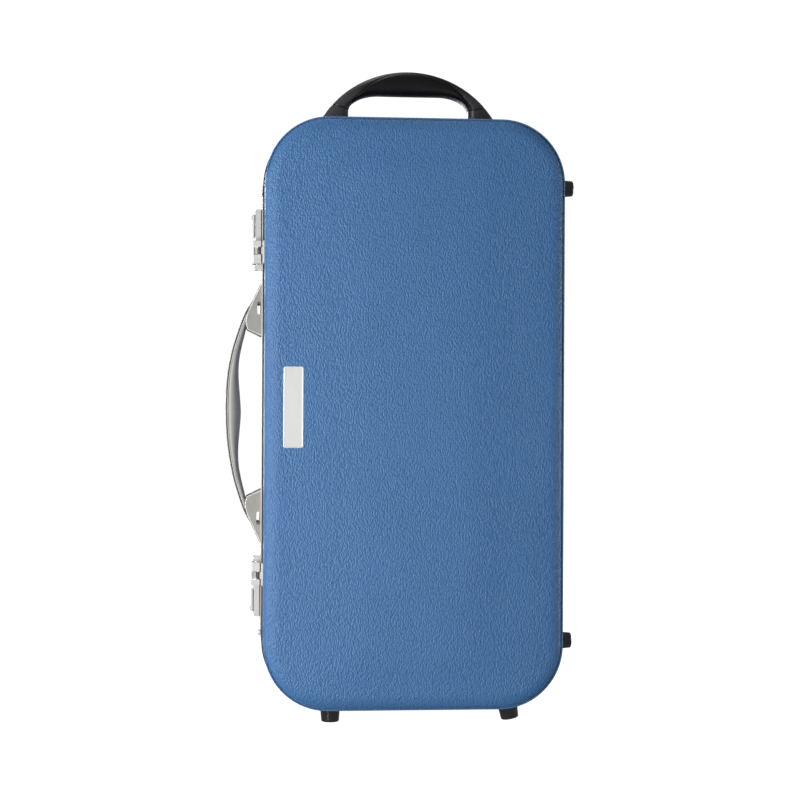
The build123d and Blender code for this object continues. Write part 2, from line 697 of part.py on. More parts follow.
with BuildPart() as latch_body:
    wall_block((STRIP_PROUD, BASE_PROUD), LATCH_SPAN, (LATCH_INNER_Z, LATCH_HIGH))
    wall_block((BASE_PROUD, HOUSING_PROUD), LATCH_SPAN, (HOUSING_LOW, LATCH_HIGH))
    chamfer(
        latch_body.edges().filter_by(Axis.Y).group_by(Axis.Z)[-1].sort_by(Axis.X)[:1],
        HOUSING_CHAMFER,
    )
    wall_block(
        (BASE_PROUD, TONGUE_END_PROUD),
        LATCH_SPAN,
        (LATCH_INNER_Z, LATCH_INNER_Z + TONGUE_END_LENGTH),
    )
    wall_block((BASE_PROUD, CATCH_PROUD), LATCH_SPAN, (LATCH_INNER_Z, HOUSING_LOW))
    wall_block(
        (CAVITY_FLOOR, CAVITY_ROOF),
        around(LATCH_Y, CAVITY_WIDTH),
        (CAVITY_LOW, CAVITY_HIGH),
        Mode.SUBTRACT,
    )
    wall_block(
        (CAVITY_ROOF, HOUSING_PROUD),
        around(LATCH_Y, NECK_WIDTH + 2 * SLIDE_CLEARANCE),
        (CAVITY_LOW, NECK_HIGH + SLIDER_TRAVEL + SLIDE_CLEARANCE),
        Mode.SUBTRACT,
    )
    wall_block(
        (BOLT_FLOOR - SLIDE_CLEARANCE, BOLT_FLOOR + BOLT_THICKNESS + SLIDE_CLEARANCE),
        around(LATCH_Y, BOLT_WIDTH + 2 * SLIDE_CLEARANCE),
        (BOLT_LOW - SLIDE_CLEARANCE, CAVITY_LOW),
        Mode.SUBTRACT,
    )
both_ends(latch_body.part, "latch_{}_body")

with BuildPart() as latch_slider:
    plate_proud = HOUSING_PROUD + SLIDER_GAP
    wall_block(
        (plate_proud, plate_proud + SLIDER_GAUGE),
        around(LATCH_Y, SLIDER_WIDTH),
        (SLIDER_LOW, SLIDER_HIGH),
    )
    with BuildSketch(side_profile(LATCH_Y - SLIDER_WIDTH / 2)) as lip:
        with BuildLine():
            Polyline(
                (plate_proud + SLIDER_GAUGE, SLIDER_HIGH - LIP_LENGTH),
                (plate_proud + SLIDER_GAUGE + LIP_PROUD, SLIDER_HIGH - LIP_LENGTH + LIP_PROUD / 2),
                (plate_proud + SLIDER_GAUGE + LIP_PROUD, SLIDER_HIGH - 2 * LIP_PROUD),
                (plate_proud + SLIDER_GAUGE, SLIDER_HIGH),
                close=True,
            )
        make_face()
    extrude(lip.sketch, amount=SLIDER_WIDTH)
    wall_block((CAVITY_ROOF - 1, plate_proud), around(LATCH_Y, NECK_WIDTH), (NECK_LOW, NECK_HIGH))
    wall_block(
        (CAVITY_FLOOR + SLIDE_CLEARANCE, CAVITY_ROOF - SLIDE_CLEARANCE),
        around(LATCH_Y, CAVITY_WIDTH - 2 * SLIDE_CLEARANCE),
        (NECK_LOW, NECK_HIGH),
    )
    wall_block(
        (BOLT_FLOOR, BOLT_FLOOR + BOLT_THICKNESS),
        around(LATCH_Y, BOLT_WIDTH),
        (BOLT_LOW, NECK_LOW),
    )
both_ends(latch_slider.part, "latch_{}_slider")


def coil(plane, radius, wire, length, turns):
    """Wire coil along a plane's normal, from its origin."""
    with BuildLine(plane) as path:
        Helix((length - 2 * wire) / turns, length - 2 * wire, radius)
    with BuildSketch(Plane(origin=path.line @ 0, z_dir=path.line % 0)) as section:
        Circle(wire)
    sweep(section.sketch, path=path.line, is_frenet=True)


with BuildPart() as latch_spring:
    spring_length = CAVITY_HIGH - NECK_HIGH
    spring_start = (X_LEFT - SPRING_PROUD, Y_PART + LATCH_Y, Z_MID + NECK_HIGH + SPRING_WIRE)
    coil(
        Plane(origin=spring_start, z_dir=(0, 0, 1)),
        SPRING_RADIUS,
        SPRING_WIRE,
        spring_length,
        SPRING_TURNS,
    )
both_ends(latch_spring.part, "latch_{}_spring")

with BuildPart() as upper_latch_rivets:
    for rivet_z in (HOUSING_LOW + 4.0, LATCH_HIGH - 4.5):
        for rivet_y in around(LATCH_Y, LATCH_WIDTH - 4.0):
            centre = (X_LEFT - HOUSING_PROUD, Y_PART + rivet_y, Z_MID + rivet_z)
            rivet(Plane(origin=centre, z_dir=(-1, 0, 0)), SMALL_RIVET_RADIUS, SMALL_RIVET_HEIGHT)
with BuildPart() as latch_rivets:
    add(upper_latch_rivets.part)
    mirror(about=MIDDLE)
latch_rivets.part.label = "latch_rivets"
export_step(latch_rivets.part, "parts/latch_rivets.step")

WINDOW_LOW = HASP_LOW + WINDOW_OFFSET
PIVOT_KNUCKLE = (WINDOW_LOW + HASP_END_CLEARANCE, WINDOW_LOW + WINDOW_LENGTH - HASP_END_CLEARANCE)


def pivot_plane(z):
    """Plane on the hasp's pivot, facing up."""
    return Plane(origin=(X_LEFT - PIVOT_PROUD, Y_PART - PIVOT_FRONT, Z_MID + z), z_dir=(0, 0, 1))


with BuildPart() as hasp:
    wall_block((HASP_PROUD - HASP_GAUGE, HASP_PROUD), (-HASP_FRONT, HASP_BACK), (HASP_LOW, HASP_HIGH))
    post_proud = PIVOT_PROUD - PIVOT_KNUCKLE_RADIUS
    wall_block(
        (post_proud, HASP_PROUD), (-HASP_FRONT, HASP_GAUGE - HASP_FRONT), (HASP_LOW, HASP_HIGH)
    )
    for cheek_low in (HASP_LOW, HASP_HIGH - HASP_GAUGE):
        with BuildSketch(end_profile(cheek_low)) as cheek:
            with BuildLine():
                Polyline(
                    (post_proud, HASP_FRONT),
                    (post_proud, PIVOT_FRONT - 2 * HASP_PIN_RADIUS - 1),
                    (HASP_ARM_PROUD, -2.0),
                    (HASP_ARM_PROUD, -HASP_BACK),
                    (HASP_PROUD, -HASP_BACK),
                    (HASP_PROUD, HASP_FRONT),
                    close=True,
                )
            make_face()
        extrude(cheek.sketch, amount=HASP_GAUGE)
    rod(
        pivot_plane(HASP_LOW),
        HASP_PIN_RADIUS + HASP_PIN_CLEARANCE,
        HASP_LENGTH,
        Mode.SUBTRACT,
    )
    wall_block(
        (0, HASP_PROUD - HASP_GAUGE),
        (-HASP_FRONT, HASP_GAUGE - HASP_FRONT),
        (WINDOW_LOW, WINDOW_LOW + WINDOW_LENGTH),
        Mode.SUBTRACT,
    )
    fillet(
        hasp.edges().filter_by(Axis.Z).group_by(Axis.X)[0].sort_by(Axis.Y)[:1], HASP_GAUGE - 0.2
    )
    wall_block(
        (CATCH_PROUD + HASP_CLEARANCE, HASP_PROUD - HASP_GAUGE),
        around(LATCH_Y, HASP_GAUGE),
        around((HASP_LOW + HASP_HIGH) / 2, CLAW_WIDTH),
    )
both_ends(hasp.part, "latch_{}_hasp")

with BuildPart() as hasp_plate:
    wall_block((0, HASP_PLATE), (-HASP_PLATE_DEPTH, -SEAL_FRONT - HASP_CLEARANCE), (HASP_LOW, HASP_HIGH))
    wall_block(
        (HASP_PLATE, PIVOT_PROUD),
        around(-PIVOT_FRONT, 2 * PIVOT_KNUCKLE_RADIUS),
        PIVOT_KNUCKLE,
    )
    rod(
        pivot_plane(PIVOT_KNUCKLE[0]),
        PIVOT_KNUCKLE_RADIUS,
        PIVOT_KNUCKLE[1] - PIVOT_KNUCKLE[0],
    )
    rod(
        pivot_plane(HASP_LOW),
        HASP_PIN_RADIUS + HASP_PIN_CLEARANCE,
        HASP_LENGTH,
        Mode.SUBTRACT,
    )
both_ends(hasp_plate.part, "latch_{}_hinge_plate")

with BuildPart() as hasp_pins:
    rod(pivot_plane(HASP_LOW), HASP_PIN_RADIUS, HASP_LENGTH)
    mirror(about=MIDDLE)
hasp_pins.part.label = "hasp_pins"
export_step(hasp_pins.part, "parts/hasp_pins.step")

with BuildPart() as upper_hasp_spring:
    coil_low = HASP_LOW + HASP_GAUGE + HASP_CLEARANCE
    coil_radius = (HASP_PIN_RADIUS + PIVOT_KNUCKLE_RADIUS) / 2
    coil(
        pivot_plane(coil_low + HASP_SPRING_WIRE),
        coil_radius,
        HASP_SPRING_WIRE,
        PIVOT_KNUCKLE[0] - HASP_CLEARANCE - coil_low,
        HASP_SPRING_TURNS,
    )
with BuildPart() as hasp_springs:
    add(upper_hasp_spring.part)
    mirror(about=MIDDLE)
hasp_springs.part.label = "hasp_springs"
export_step(hasp_springs.part, "parts/hasp_springs.step")

with BuildPart() as upper_plate_rivets:
    for rivet_z in around((HASP_LOW + HASP_HIGH) / 2, HASP_LENGTH - 9.0):
        centre = (X_LEFT - HASP_PLATE, Y_PART + HASP_RIVET_Y, Z_MID + rivet_z)
        rivet(Plane(origin=centre, z_dir=(-1, 0, 0)), SMALL_RIVET_RADIUS, SMALL_RIVET_HEIGHT)
with BuildPart() as hinge_plate_rivets:
    add(upper_plate_rivets.part)
    mirror(about=MIDDLE)
hinge_plate_rivets.part.label = "hinge_plate_rivets"
export_step(hinge_plate_rivets.part, "parts/hinge_plate_rivets.step")

# Side handle: a bow of one grip and two links, whose pins run in the slots of the brackets

BOW_CENTRE = HANDLE_REACH - BOW_RADIUS
KNUCKLE_ANGLE = degrees(asin(KNUCKLE_Z / (BOW_RADIUS - BOW_END_THICKNESS / 2)))
KNUCKLE_RADIUS_SIDE = BOW_END_THICKNESS / 2
PIN_PROUD = STRIP_PROUD + BRACKET_BASE + SLOT_WIDTH / 2
PIN_Z = SLOT_TOP_Z - SLOT_WIDTH / 2


def bow_point(depth, angle):
    """Point of the bow's outline, a depth under its outer arc, at an angle from its middle."""
    radius = BOW_RADIUS - depth
    return (BOW_CENTRE + radius * cos(radians(angle)), radius * sin(radians(angle)))


def bow_point_at(depth, z):
    """The same, at a height above the middle."""
    return (BOW_CENTRE + sqrt((BOW_RADIUS - depth) ** 2 - z**2), z)


KNUCKLE = bow_point(KNUCKLE_RADIUS_SIDE, KNUCKLE_ANGLE)

with BuildPart() as bracket:
    for cheek_y in (HANDLE_Y - CHEEK_GAP / 2 - CHEEK, HANDLE_Y + CHEEK_GAP / 2):
        with BuildSketch(side_profile(cheek_y)) as cheek:
            with BuildLine():
                Polyline(
                    (STRIP_PROUD, BRACKET_FOOT_Z),
                    *BRACKET_EDGE,
                    (BRACKET_TIP_PROUD, BRACKET_TIP_Z),
                    (STRIP_PROUD, BRACKET_TIP_Z),
                    close=True,
                )
            make_face()
            corners = cheek.vertices().sort_by(Axis.Y)
            fillet(corners[1:3], BRACKET_ROUND)
            fillet(corners[-2:].sort_by(Axis.X)[-1:], BRACKET_TIP_ROUND)
            with Locations((PIN_PROUD, SLOT_TOP_Z - SLOT_LENGTH / 2)):
                SlotOverall(SLOT_LENGTH, SLOT_WIDTH, rotation=90, mode=Mode.SUBTRACT)
        extrude(cheek.sketch, amount=CHEEK)
    for outer_face in (bracket.faces().sort_by(Axis.Y)[0], bracket.faces().sort_by(Axis.Y)[-1]):
        chamfer(outer_face.outer_wire().edges().group_by(Axis.X)[:-1], BRACKET_BEVEL)
    for base in ((BRACKET_FOOT_Z + 1, BASE_SPLIT[0]), (BASE_SPLIT[1], BRACKET_TIP_Z)):
        wall_block((STRIP_PROUD, STRIP_PROUD + BRACKET_BASE), around(HANDLE_Y, CHEEK_GAP), base)
    bend_proud, bend_z = BRACKET_EDGE[-1]
    slope = (bend_proud - BRACKET_TIP_PROUD) / (BRACKET_TIP_Z - bend_z)
    roof_proud = BRACKET_TIP_PROUD + slope * (BRACKET_TIP_Z - BASE_SPLIT[1])
    with BuildSketch(side_profile(HANDLE_Y - CHEEK_GAP / 2)) as roof:
        with BuildLine():
            Polyline(
                (roof_proud, BASE_SPLIT[1]),
                (BRACKET_TIP_PROUD, BRACKET_TIP_Z),
                (BRACKET_TIP_PROUD - ROOF, BRACKET_TIP_Z),
                (roof_proud - ROOF, BASE_SPLIT[1]),
                close=True,
            )
        make_face()
    extrude(roof.sketch, amount=CHEEK_GAP)
both_ends(bracket.part, "side_handle_bracket_{}")

with BuildPart() as upper_bracket_rivets:
    for rivet_z in (BASE_SPLIT[0] - 10.0, BASE_SPLIT[1] + 6.0):
        centre = (X_LEFT - STRIP_PROUD - BRACKET_BASE, Y_PART + HANDLE_Y, Z_MID + rivet_z)
        rivet(Plane(origin=centre, z_dir=(-1, 0, 0)), BRACKET_RIVET_RADIUS, SMALL_RIVET_HEIGHT)
with BuildPart() as side_handle_bracket_rivets:
    add(upper_bracket_rivets.part)
    mirror(about=MIDDLE)
side_handle_bracket_rivets.part.label = "side_handle_bracket_rivets"
export_step(side_handle_bracket_rivets.part, "parts/side_handle_bracket_rivets.step")

with BuildPart() as link:
    with BuildSketch(side_profile(HANDLE_Y - LINK_WIDTH / 2)) as outline:
        with BuildLine():
            start = bow_point(0, KNUCKLE_ANGLE)
            outer_end = bow_point_at(0, LINK_STRAP_Z)
            outer_middle = bow_point_at(0, (start[1] + LINK_STRAP_Z) / 2)
            inner_strap = bow_point_at(LINK_STRAP, LINK_STRAP_Z)
            inner_neck = bow_point_at(LINK_NECK, LINK_NECK_Z)
            inner_start = bow_point(BOW_END_THICKNESS, KNUCKLE_ANGLE)
            ThreePointArc(start, outer_middle, outer_end)
            Polyline(outer_end, LINK_TAIL, LINK_TAIL_ROOT, inner_strap)
            Spline(inner_strap, inner_neck, inner_start)
            Line(inner_start, start)
        make_face()
        with Locations(KNUCKLE):
            Circle(KNUCKLE_RADIUS_SIDE)
        with Locations((PIN_PROUD, PIN_Z)):
            Circle(LINK_LEG_RADIUS)
        leg_top = bow_point_at(LINK_STRAP / 2, PIN_Z)[0]
        with Locations(((PIN_PROUD + leg_top) / 2, PIN_Z)):
            Rectangle(leg_top - PIN_PROUD, 2 * LINK_LEG_RADIUS)
        with Locations((PIN_PROUD, PIN_Z)):
            Circle(HANDLE_PIN_RADIUS + PIN_CLEARANCE, mode=Mode.SUBTRACT)
        with Locations(KNUCKLE):
            Circle(KNUCKLE_PIN_RADIUS + PIN_CLEARANCE, mode=Mode.SUBTRACT)
    extrude(outline.sketch, amount=LINK_WIDTH)
both_ends(link.part, "side_handle_link_{}")


def cross_pin(proud, z, radius, length):
    """Pin across the side handle."""
    origin = (X_LEFT - proud, Y_PART + HANDLE_Y - length / 2, Z_MID + z)
    rod(Plane(origin=origin, z_dir=(0, 1, 0)), radius, length)


with BuildPart() as handle_pin:
    cross_pin(PIN_PROUD, PIN_Z, HANDLE_PIN_RADIUS, CHEEK_GAP + 2 * CHEEK)
both_ends(handle_pin.part, "side_handle_pin_{}")

GRIP_DEPTH = STRAP_THICKNESS + SEAM_GAP

with BuildPart() as side_handle_grip:
    with BuildSketch(side_profile(HANDLE_Y - GRIP_WIDTH / 2)) as grip:
        with BuildLine():
            top = bow_point(GRIP_DEPTH, KNUCKLE_ANGLE)
            bottom = (top[0], -top[1])
            inner_top = bow_point(BOW_END_THICKNESS, KNUCKLE_ANGLE)
            inner_bottom = (inner_top[0], -inner_top[1])
            waist = bow_point_at(GRIP_WAIST, GRIP_WAIST_Z)
            ThreePointArc(bottom, bow_point(GRIP_DEPTH, 0), top)
            Line(top, inner_top)
            Spline(
                inner_top,
                waist,
                bow_point(GRIP_THICKNESS, 0),
                (waist[0], -waist[1]),
                inner_bottom,
            )
            Line(inner_bottom, bottom)
        make_face()
    extrude(grip.sketch, amount=GRIP_WIDTH)
    grip_edges = side_handle_grip.faces().filter_by(Axis.Y).edges()
    fillet(grip_edges.filter_by(GeomType.LINE, reverse=True), GRIP_ROUND)
    for end in (1, -1):
        with BuildSketch(side_profile(HANDLE_Y - GRIP_WIDTH / 2)) as ear:
            with Locations((KNUCKLE[0], end * KNUCKLE[1])):
                Circle(KNUCKLE_RADIUS_SIDE - GRIP_DEPTH / 2)
        extrude(ear.sketch, amount=GRIP_WIDTH)
        socket_width = LINK_WIDTH + 2 * EAR_CLEARANCE
        with BuildSketch(side_profile(HANDLE_Y - socket_width / 2)) as socket:
            with Locations((KNUCKLE[0], end * KNUCKLE[1])):
                Circle(KNUCKLE_RADIUS_SIDE + SOCKET_CLEARANCE)
        extrude(socket.sketch, amount=socket_width, mode=Mode.SUBTRACT)
        pin_origin = (
            X_LEFT - KNUCKLE[0],
            Y_PART + HANDLE_Y - GRIP_WIDTH / 2,
            Z_MID + end * KNUCKLE[1],
        )
        rod(
            Plane(origin=pin_origin, z_dir=(0, 1, 0)),
            KNUCKLE_PIN_RADIUS + PIN_CLEARANCE,
            GRIP_WIDTH,
            Mode.SUBTRACT,
        )
side_handle_grip.part.label = "side_handle_grip"
export_step(side_handle_grip.part, "parts/side_handle_grip.step")

with BuildPart() as side_handle_knuckle_pins:
    cross_pin(KNUCKLE[0], KNUCKLE[1], KNUCKLE_PIN_RADIUS, GRIP_WIDTH - 2)
    cross_pin(KNUCKLE[0], -KNUCKLE[1], KNUCKLE_PIN_RADIUS, GRIP_WIDTH - 2)
side_handle_knuckle_pins.part.label = "side_handle_knuckle_pins"
export_step(side_handle_knuckle_pins.part, "parts/side_handle_knuckle_pins.step")

with BuildPart() as side_handle_strap:
    with BuildSketch(side_profile(HANDLE_Y - STRAP_WIDTH / 2)) as strap:
        with BuildLine():
            outer = bow_point(0, KNUCKLE_ANGLE)
            inner = bow_point(STRAP_THICKNESS, KNUCKLE_ANGLE)
            ThreePointArc((outer[0], -outer[1]), bow_point(0, 0), outer)
            Line(outer, inner)
            ThreePointArc(inner, bow_point(STRAP_THICKNESS, 0), (inner[0], -inner[1]))
            Line((inner[0], -inner[1]), (outer[0], -outer[1]))
        make_face()
        with Locations(KNUCKLE, (KNUCKLE[0], -KNUCKLE[1])):
            Circle(KNUCKLE_RADIUS_SIDE + SOCKET_CLEARANCE, mode=Mode.SUBTRACT)
    extrude(strap.sketch, amount=STRAP_WIDTH)
side_handle_strap.part.label = "side_handle_strap"
export_step(side_handle_strap.part, "parts/side_handle_strap.step")

# Top handle


def top_profile(depth):
    """Plane for the top handle's outline: across and up from the middle of the shell's top."""
    y = Y_PART + HANDLE_Y + depth / 2
    return Plane(origin=(X_MID + TOP_HANDLE_X, y, Z_TOP), x_dir=(1, 0, 0), z_dir=(0, -1, 0))


def pad_region(mode):
    """Region of the handle inside the pad's arc and above its ends."""
    with BuildSketch(top_profile(TOP_HANDLE_DEPTH)) as region:
        with Locations((0, PAD_TOP - PAD_ARC)):
            Circle(PAD_ARC)
        with Locations((0, PAD_END_HEIGHT - PAD_ARC)):
            Rectangle(2 * PAD_ARC, 2 * PAD_ARC, mode=Mode.SUBTRACT)
    extrude(region.sketch, amount=TOP_HANDLE_DEPTH, mode=mode)


with BuildPart() as handle_body:
    with BuildSketch(top_profile(TOP_HANDLE_DEPTH)) as handle_outline:
        with Locations((0, TOP_HANDLE_HEIGHT - TOP_HANDLE_ARC)):
            Circle(TOP_HANDLE_ARC)
        with Locations((0, MOUNT_PLATE - TOP_HANDLE_ARC)):
            Rectangle(2 * TOP_HANDLE_ARC, 2 * TOP_HANDLE_ARC, mode=Mode.SUBTRACT)
        with BuildSketch(mode=Mode.PRIVATE) as opening:
            with Locations((0, OPENING_HEIGHT - TOP_HANDLE_ARC)):
                RectangleRounded(
                    2 * (OPENING_HALF_WIDTH + OPENING_SHOULDER), 2 * TOP_HANDLE_ARC, OPENING_ROUND
                )
            Rectangle(2 * OPENING_HALF_WIDTH, 2 * OPENING_HEIGHT, mode=Mode.INTERSECT)
        add(opening.sketch, mode=Mode.SUBTRACT)
    extrude(handle_outline.sketch, amount=TOP_HANDLE_DEPTH)
    side_edges = handle_body.faces().filter_by(Axis.Y).edges().group_by(Axis.Z)
    fillet(side_edges[-1], TOP_HANDLE_EDGE)
    side_edges = handle_body.faces().filter_by(Axis.Y).edges().filter_by_position(
        Axis.Z, Z_TOP + MOUNT_PLATE + 0.1, Z_TOP + OPENING_HEIGHT + 0.1
    )
    fillet(side_edges, OPENING_EDGE)

with BuildPart() as top_handle_pad:
    add(handle_body.part)
    pad_region(Mode.INTERSECT)
top_handle_pad.part.label = "top_handle_pad"
export_step(top_handle_pad.part, "parts/top_handle_pad.step")

with BuildPart() as top_handle_frame:
    add(handle_body.part)
    pad_region(Mode.SUBTRACT)
top_handle_frame.part.label = "top_handle_frame"
export_step(top_handle_frame.part, "parts/top_handle_frame.step")

with BuildPart() as top_handle_plates:
    for side in (-1, 1):
        plate_x = X_MID + TOP_HANDLE_X + side * sum(MOUNT_PLATE_X) / 2
        drop = 2 * MOUNT_PLATE
        with Locations((plate_x, Y_PART + HANDLE_Y, Z_TOP + MOUNT_PLATE - drop)):
            Box(MOUNT_PLATE_X[1] - MOUNT_PLATE_X[0], MOUNT_PLATE_DEPTH, 2 * drop)
    split(bisect_by=Plane.XY.offset(Z_TOP + MOUNT_PLATE), keep=Keep.BOTTOM)
    slab(BACK_WALL, -LID_WALL, 0, Mode.SUBTRACT)
top_handle_plates.part.label = "top_handle_plates"
export_step(top_handle_plates.part, "parts/top_handle_plates.step")

with BuildPart() as top_handle_screws:
    for side in (-1, 1):
        for screw_x in MOUNT_SCREW_X:
            screw_centre_x = X_MID + TOP_HANDLE_X + side * screw_x
            centre = (screw_centre_x, Y_PART + HANDLE_Y, Z_TOP + MOUNT_PLATE)
            rivet(Plane(origin=centre, z_dir=(0, 0, 1)), MOUNT_SCREW_RADIUS, MOUNT_SCREW_HEIGHT)
top_handle_screws.part.label = "top_handle_screws"
export_step(top_handle_screws.part, "parts/top_handle_screws.step")
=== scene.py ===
import math

import bpy
import numpy as np
from bpy.props import FloatProperty, FloatVectorProperty, PointerProperty
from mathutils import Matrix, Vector


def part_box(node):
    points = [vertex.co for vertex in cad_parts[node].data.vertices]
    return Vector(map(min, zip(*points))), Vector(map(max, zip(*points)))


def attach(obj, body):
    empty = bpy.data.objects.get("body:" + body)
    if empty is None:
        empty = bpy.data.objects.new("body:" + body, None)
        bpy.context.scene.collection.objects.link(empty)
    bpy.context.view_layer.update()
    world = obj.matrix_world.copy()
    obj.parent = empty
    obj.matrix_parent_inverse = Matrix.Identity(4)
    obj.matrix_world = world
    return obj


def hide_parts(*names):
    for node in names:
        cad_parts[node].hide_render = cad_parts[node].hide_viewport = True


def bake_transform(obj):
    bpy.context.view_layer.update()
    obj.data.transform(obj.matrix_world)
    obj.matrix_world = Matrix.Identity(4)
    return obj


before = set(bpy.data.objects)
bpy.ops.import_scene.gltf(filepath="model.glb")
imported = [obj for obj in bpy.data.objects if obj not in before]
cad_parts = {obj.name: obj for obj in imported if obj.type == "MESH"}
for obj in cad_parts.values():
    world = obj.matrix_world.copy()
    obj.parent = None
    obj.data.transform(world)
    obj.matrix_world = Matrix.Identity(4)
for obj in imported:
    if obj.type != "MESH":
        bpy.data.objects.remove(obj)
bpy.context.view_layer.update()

bl_info = {
    "name": "Bassoon Case",
    "version": (1, 0, 0),
    "blender": (4, 5, 0),
    "location": "View3D > Sidebar > Case",
    "description": "Leatherette covering, padding, lining and finishes of a hard bassoon case",
    "category": "Object",
}

MM = 0.001


def node_box(name):
    """Lowest and highest corner of a CAD node at rest, in metres."""
    return [np.array(corner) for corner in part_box(name)]


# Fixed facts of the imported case, in metres. Depths are counted from the parting plane of the shells.
LID_BAND = node_box("lid_side_band")
BACK_BAND = node_box("back_side_band")
FOAM = node_box("foam_insert")
PADDING = node_box("lid_padding")
PLATE = node_box("label_plate")
HANDLE = node_box("top_handle_frame")
GRIP = node_box("side_handle_grip")
HANDLE_PIN = node_box("side_handle_pin_upper")
X_MID, _, Z_MID = (LID_BAND[0] + LID_BAND[1]) / 2
HALF_WIDTH, _, HALF_LENGTH = (LID_BAND[1] - LID_BAND[0]) / 2
LEFT_WALL = X_MID - HALF_WIDTH
Y_PART = (LID_BAND[1][1] + BACK_BAND[0][1]) / 2
LID_WALL = Y_PART - LID_BAND[0][1]
BACK_WALL = BACK_BAND[1][1] - Y_PART
RIM_DEPTH = BACK_BAND[0][1] - Y_PART
LID_CROWN = LID_BAND[0][1] - node_box("lid_front_panel")[0][1]
REAR_CROWN = node_box("back_rear_panel")[1][1] - BACK_BAND[1][1]
GRIP_Y = (GRIP[0][1] + GRIP[1][1]) / 2
HANDLE_X = (HANDLE[0][0] + HANDLE[1][0]) / 2
HANDLE_Y = (HANDLE[0][1] + HANDLE[1][1]) / 2
HANDLE_BASE = HANDLE[0][2] - 2 * MM

# Bays of the foam: middle across, width, low end, high end and depth, from the middle of the case
BAYS = (
    (-0.1211, 0.058, -0.2650, 0.2400, 0.050),
    (-0.0591, 0.050, -0.3091, 0.3091, 0.048),
    (0.0139, 0.080, -0.3091, 0.1359, 0.062),
    (0.0139, 0.080, 0.1439, 0.3091, 0.045),
    (0.1049, 0.086, -0.2788, 0.0662, 0.062),
    (0.1049, 0.086, 0.0742, 0.2788, 0.045),
)
BAY_ROUND = 0.012
# Finger notches in the walls between the bays: middle across and up, and their common size
NOTCHES = ((-0.0881, -0.103), (-0.0301, -0.103), (0.0579, -0.103))
NOTCH_RADIUS = 0.020
NOTCH_DEPTH = 0.026

# Bow of the side handle in millimetres: height from its middle, outer edge from the wall above and
# below the middle, and inner edge
BOW_HEIGHTS = (0, 12, 25, 37, 49, 62, 76, 92, 102, 112, 120, 127)
BOW_OUTER = {
    "upper": (41.8, 41.9, 41.6, 40.8, 39.4, 37.0, 33.6, 28.4, 24.9, 20.9, 16.1, 11.4),
    "lower": (41.8, 41.6, 40.8, 39.5, 37.9, 35.6, 32.4, 27.5, 24.0, 20.2, 15.4, 10.9),
}
BOW_INNER = (24.4, 25.2, 26.1, 27.0, 27.2, 26.3, 23.4, 19.2, 17.0, 15.3, 13.0, 9.0)
BOW_TOP, BOW_WIDTH, BOW_NARROWING = 113.0, 28.0, 8.6
STRAP_TOP, STRAP_WIDTH, STRAP_THICKNESS, STRAP_GAP = 126.5, 19.6, 2.2, 0.5
# Half width of a link's foot, and how far it ends inside the bow
FOOT_HALF_WIDTH, FOOT_INSIDE = 9.7, (9.0, 13.0)

# Outline of a bracket's cheek in millimetres, out from the wall and up from the case's middle
BRACKET_EDGE = (
    (0.0, 84.5),
    (18.4, 92.6),
    (20.6, 101.9),
    (18.3, 111.7),
    (14.0, 121.7),
    (3.9, 143.8),
)

# Heights in metres, from the case's middle, between which the latches are painted with shade inside
HOUSING = (0.1907, 0.2261)
HINGE_PLATES = (0.15, 0.25)
# Small blocks on the latches in millimetres: distances from the wall, and depths. The slider's block
# is a dark block of painted shadow under its thumb plate.
SLIDER_SHADE_BLOCK = ((9.7, 10.65), (9.4, 20.6))
HINGE_LIP = ((1.0, 2.2), (-11.4, -10.2))
HASP_TAB = ((7.7, 11.4), (-7.9, -6.9))
SLIDER_SHADE_BLOCK_LENGTH = 25.2 * MM
HASP_TAB_HALF, HASP_TAB_OFFSET = 4.2 * MM, 1.7 * MM

# Top handle in millimetres, across from its middle and up from its base: its outer arc, and the
# rounded corners of its opening
HANDLE_RADIUS, HANDLE_TOP, HANDLE_FOOT = 116.0, 61.5, 2.0
OPENING_ACROSS, OPENING_UP = 33.6, 16.0
OPENING_CORNER = (34.0, 18.7)
HANDLE_HALF_DEPTH, LEG_THINNER = 13.8, 0.9
# Arc that parts the handle's pad from its frame: middle across and up, radius, and lowest height
PAD_ACROSS, PAD_UP, PAD_RADIUS, PAD_FROM = 1.5, -21.5, 81.0, 18.0
# Sloping groove across each leg: its height at a distance across, and its slope
LEG_GROOVE_UP, LEG_GROOVE_ACROSS, LEG_GROOVE_SLOPE = 20.8, 80.0, 0.28

# Camera, fitted to the photograph: lens and sensor in millimetres, turns, and place in metres
LENS, SENSOR = 87.92, 36.0
CAMERA_AZIMUTH, CAMERA_ROLL = math.radians(-5.5), math.radians(-0.27)
CAMERA_ASIDE, CAMERA_ABOVE = -10.2 * MM, 15.2 * MM
# Places of the four soft lights, their size, what they point at, and the radius of floor and dome
LIGHTS = (
    ("key", (-1.2, -1.22, 0.28)),
    ("side", (1.9, 0.25, 0.34)),
    ("top", (-0.2, 0.2, 2.1)),
    ("back", (-0.5, 2.1, 0.7)),
)
LIGHT_SIZE = (0.6, 1.6)
LIGHT_TARGET = (0.0, -0.03, 0.34)
STAGE_RADIUS = 7.0


# Surfaces


def smooth_step(low, high, value):
    """Nothing below low, one above high, and in between three t squared less two t cubed."""
    t = np.clip((value - low) / (high - low), 0.0, 1.0)
    return t * t * (3.0 - 2.0 * t)


def ripple(x, z, seed, count=9):
    """Gentle unevenness about from -1 to 1: plane waves, 70 to 260 mm long, in set directions."""
    rng = np.random.default_rng(seed)
    heading = rng.uniform(0, math.pi, count)
    wave = rng.uniform(0.07, 0.26, count)
    phase = rng.uniform(0, 2 * math.pi, count)
    along = x[..., None] * np.cos(heading) + z[..., None] * np.sin(heading)
    return np.cos(2 * math.pi * along / wave + phase).mean(-1) * 1.8


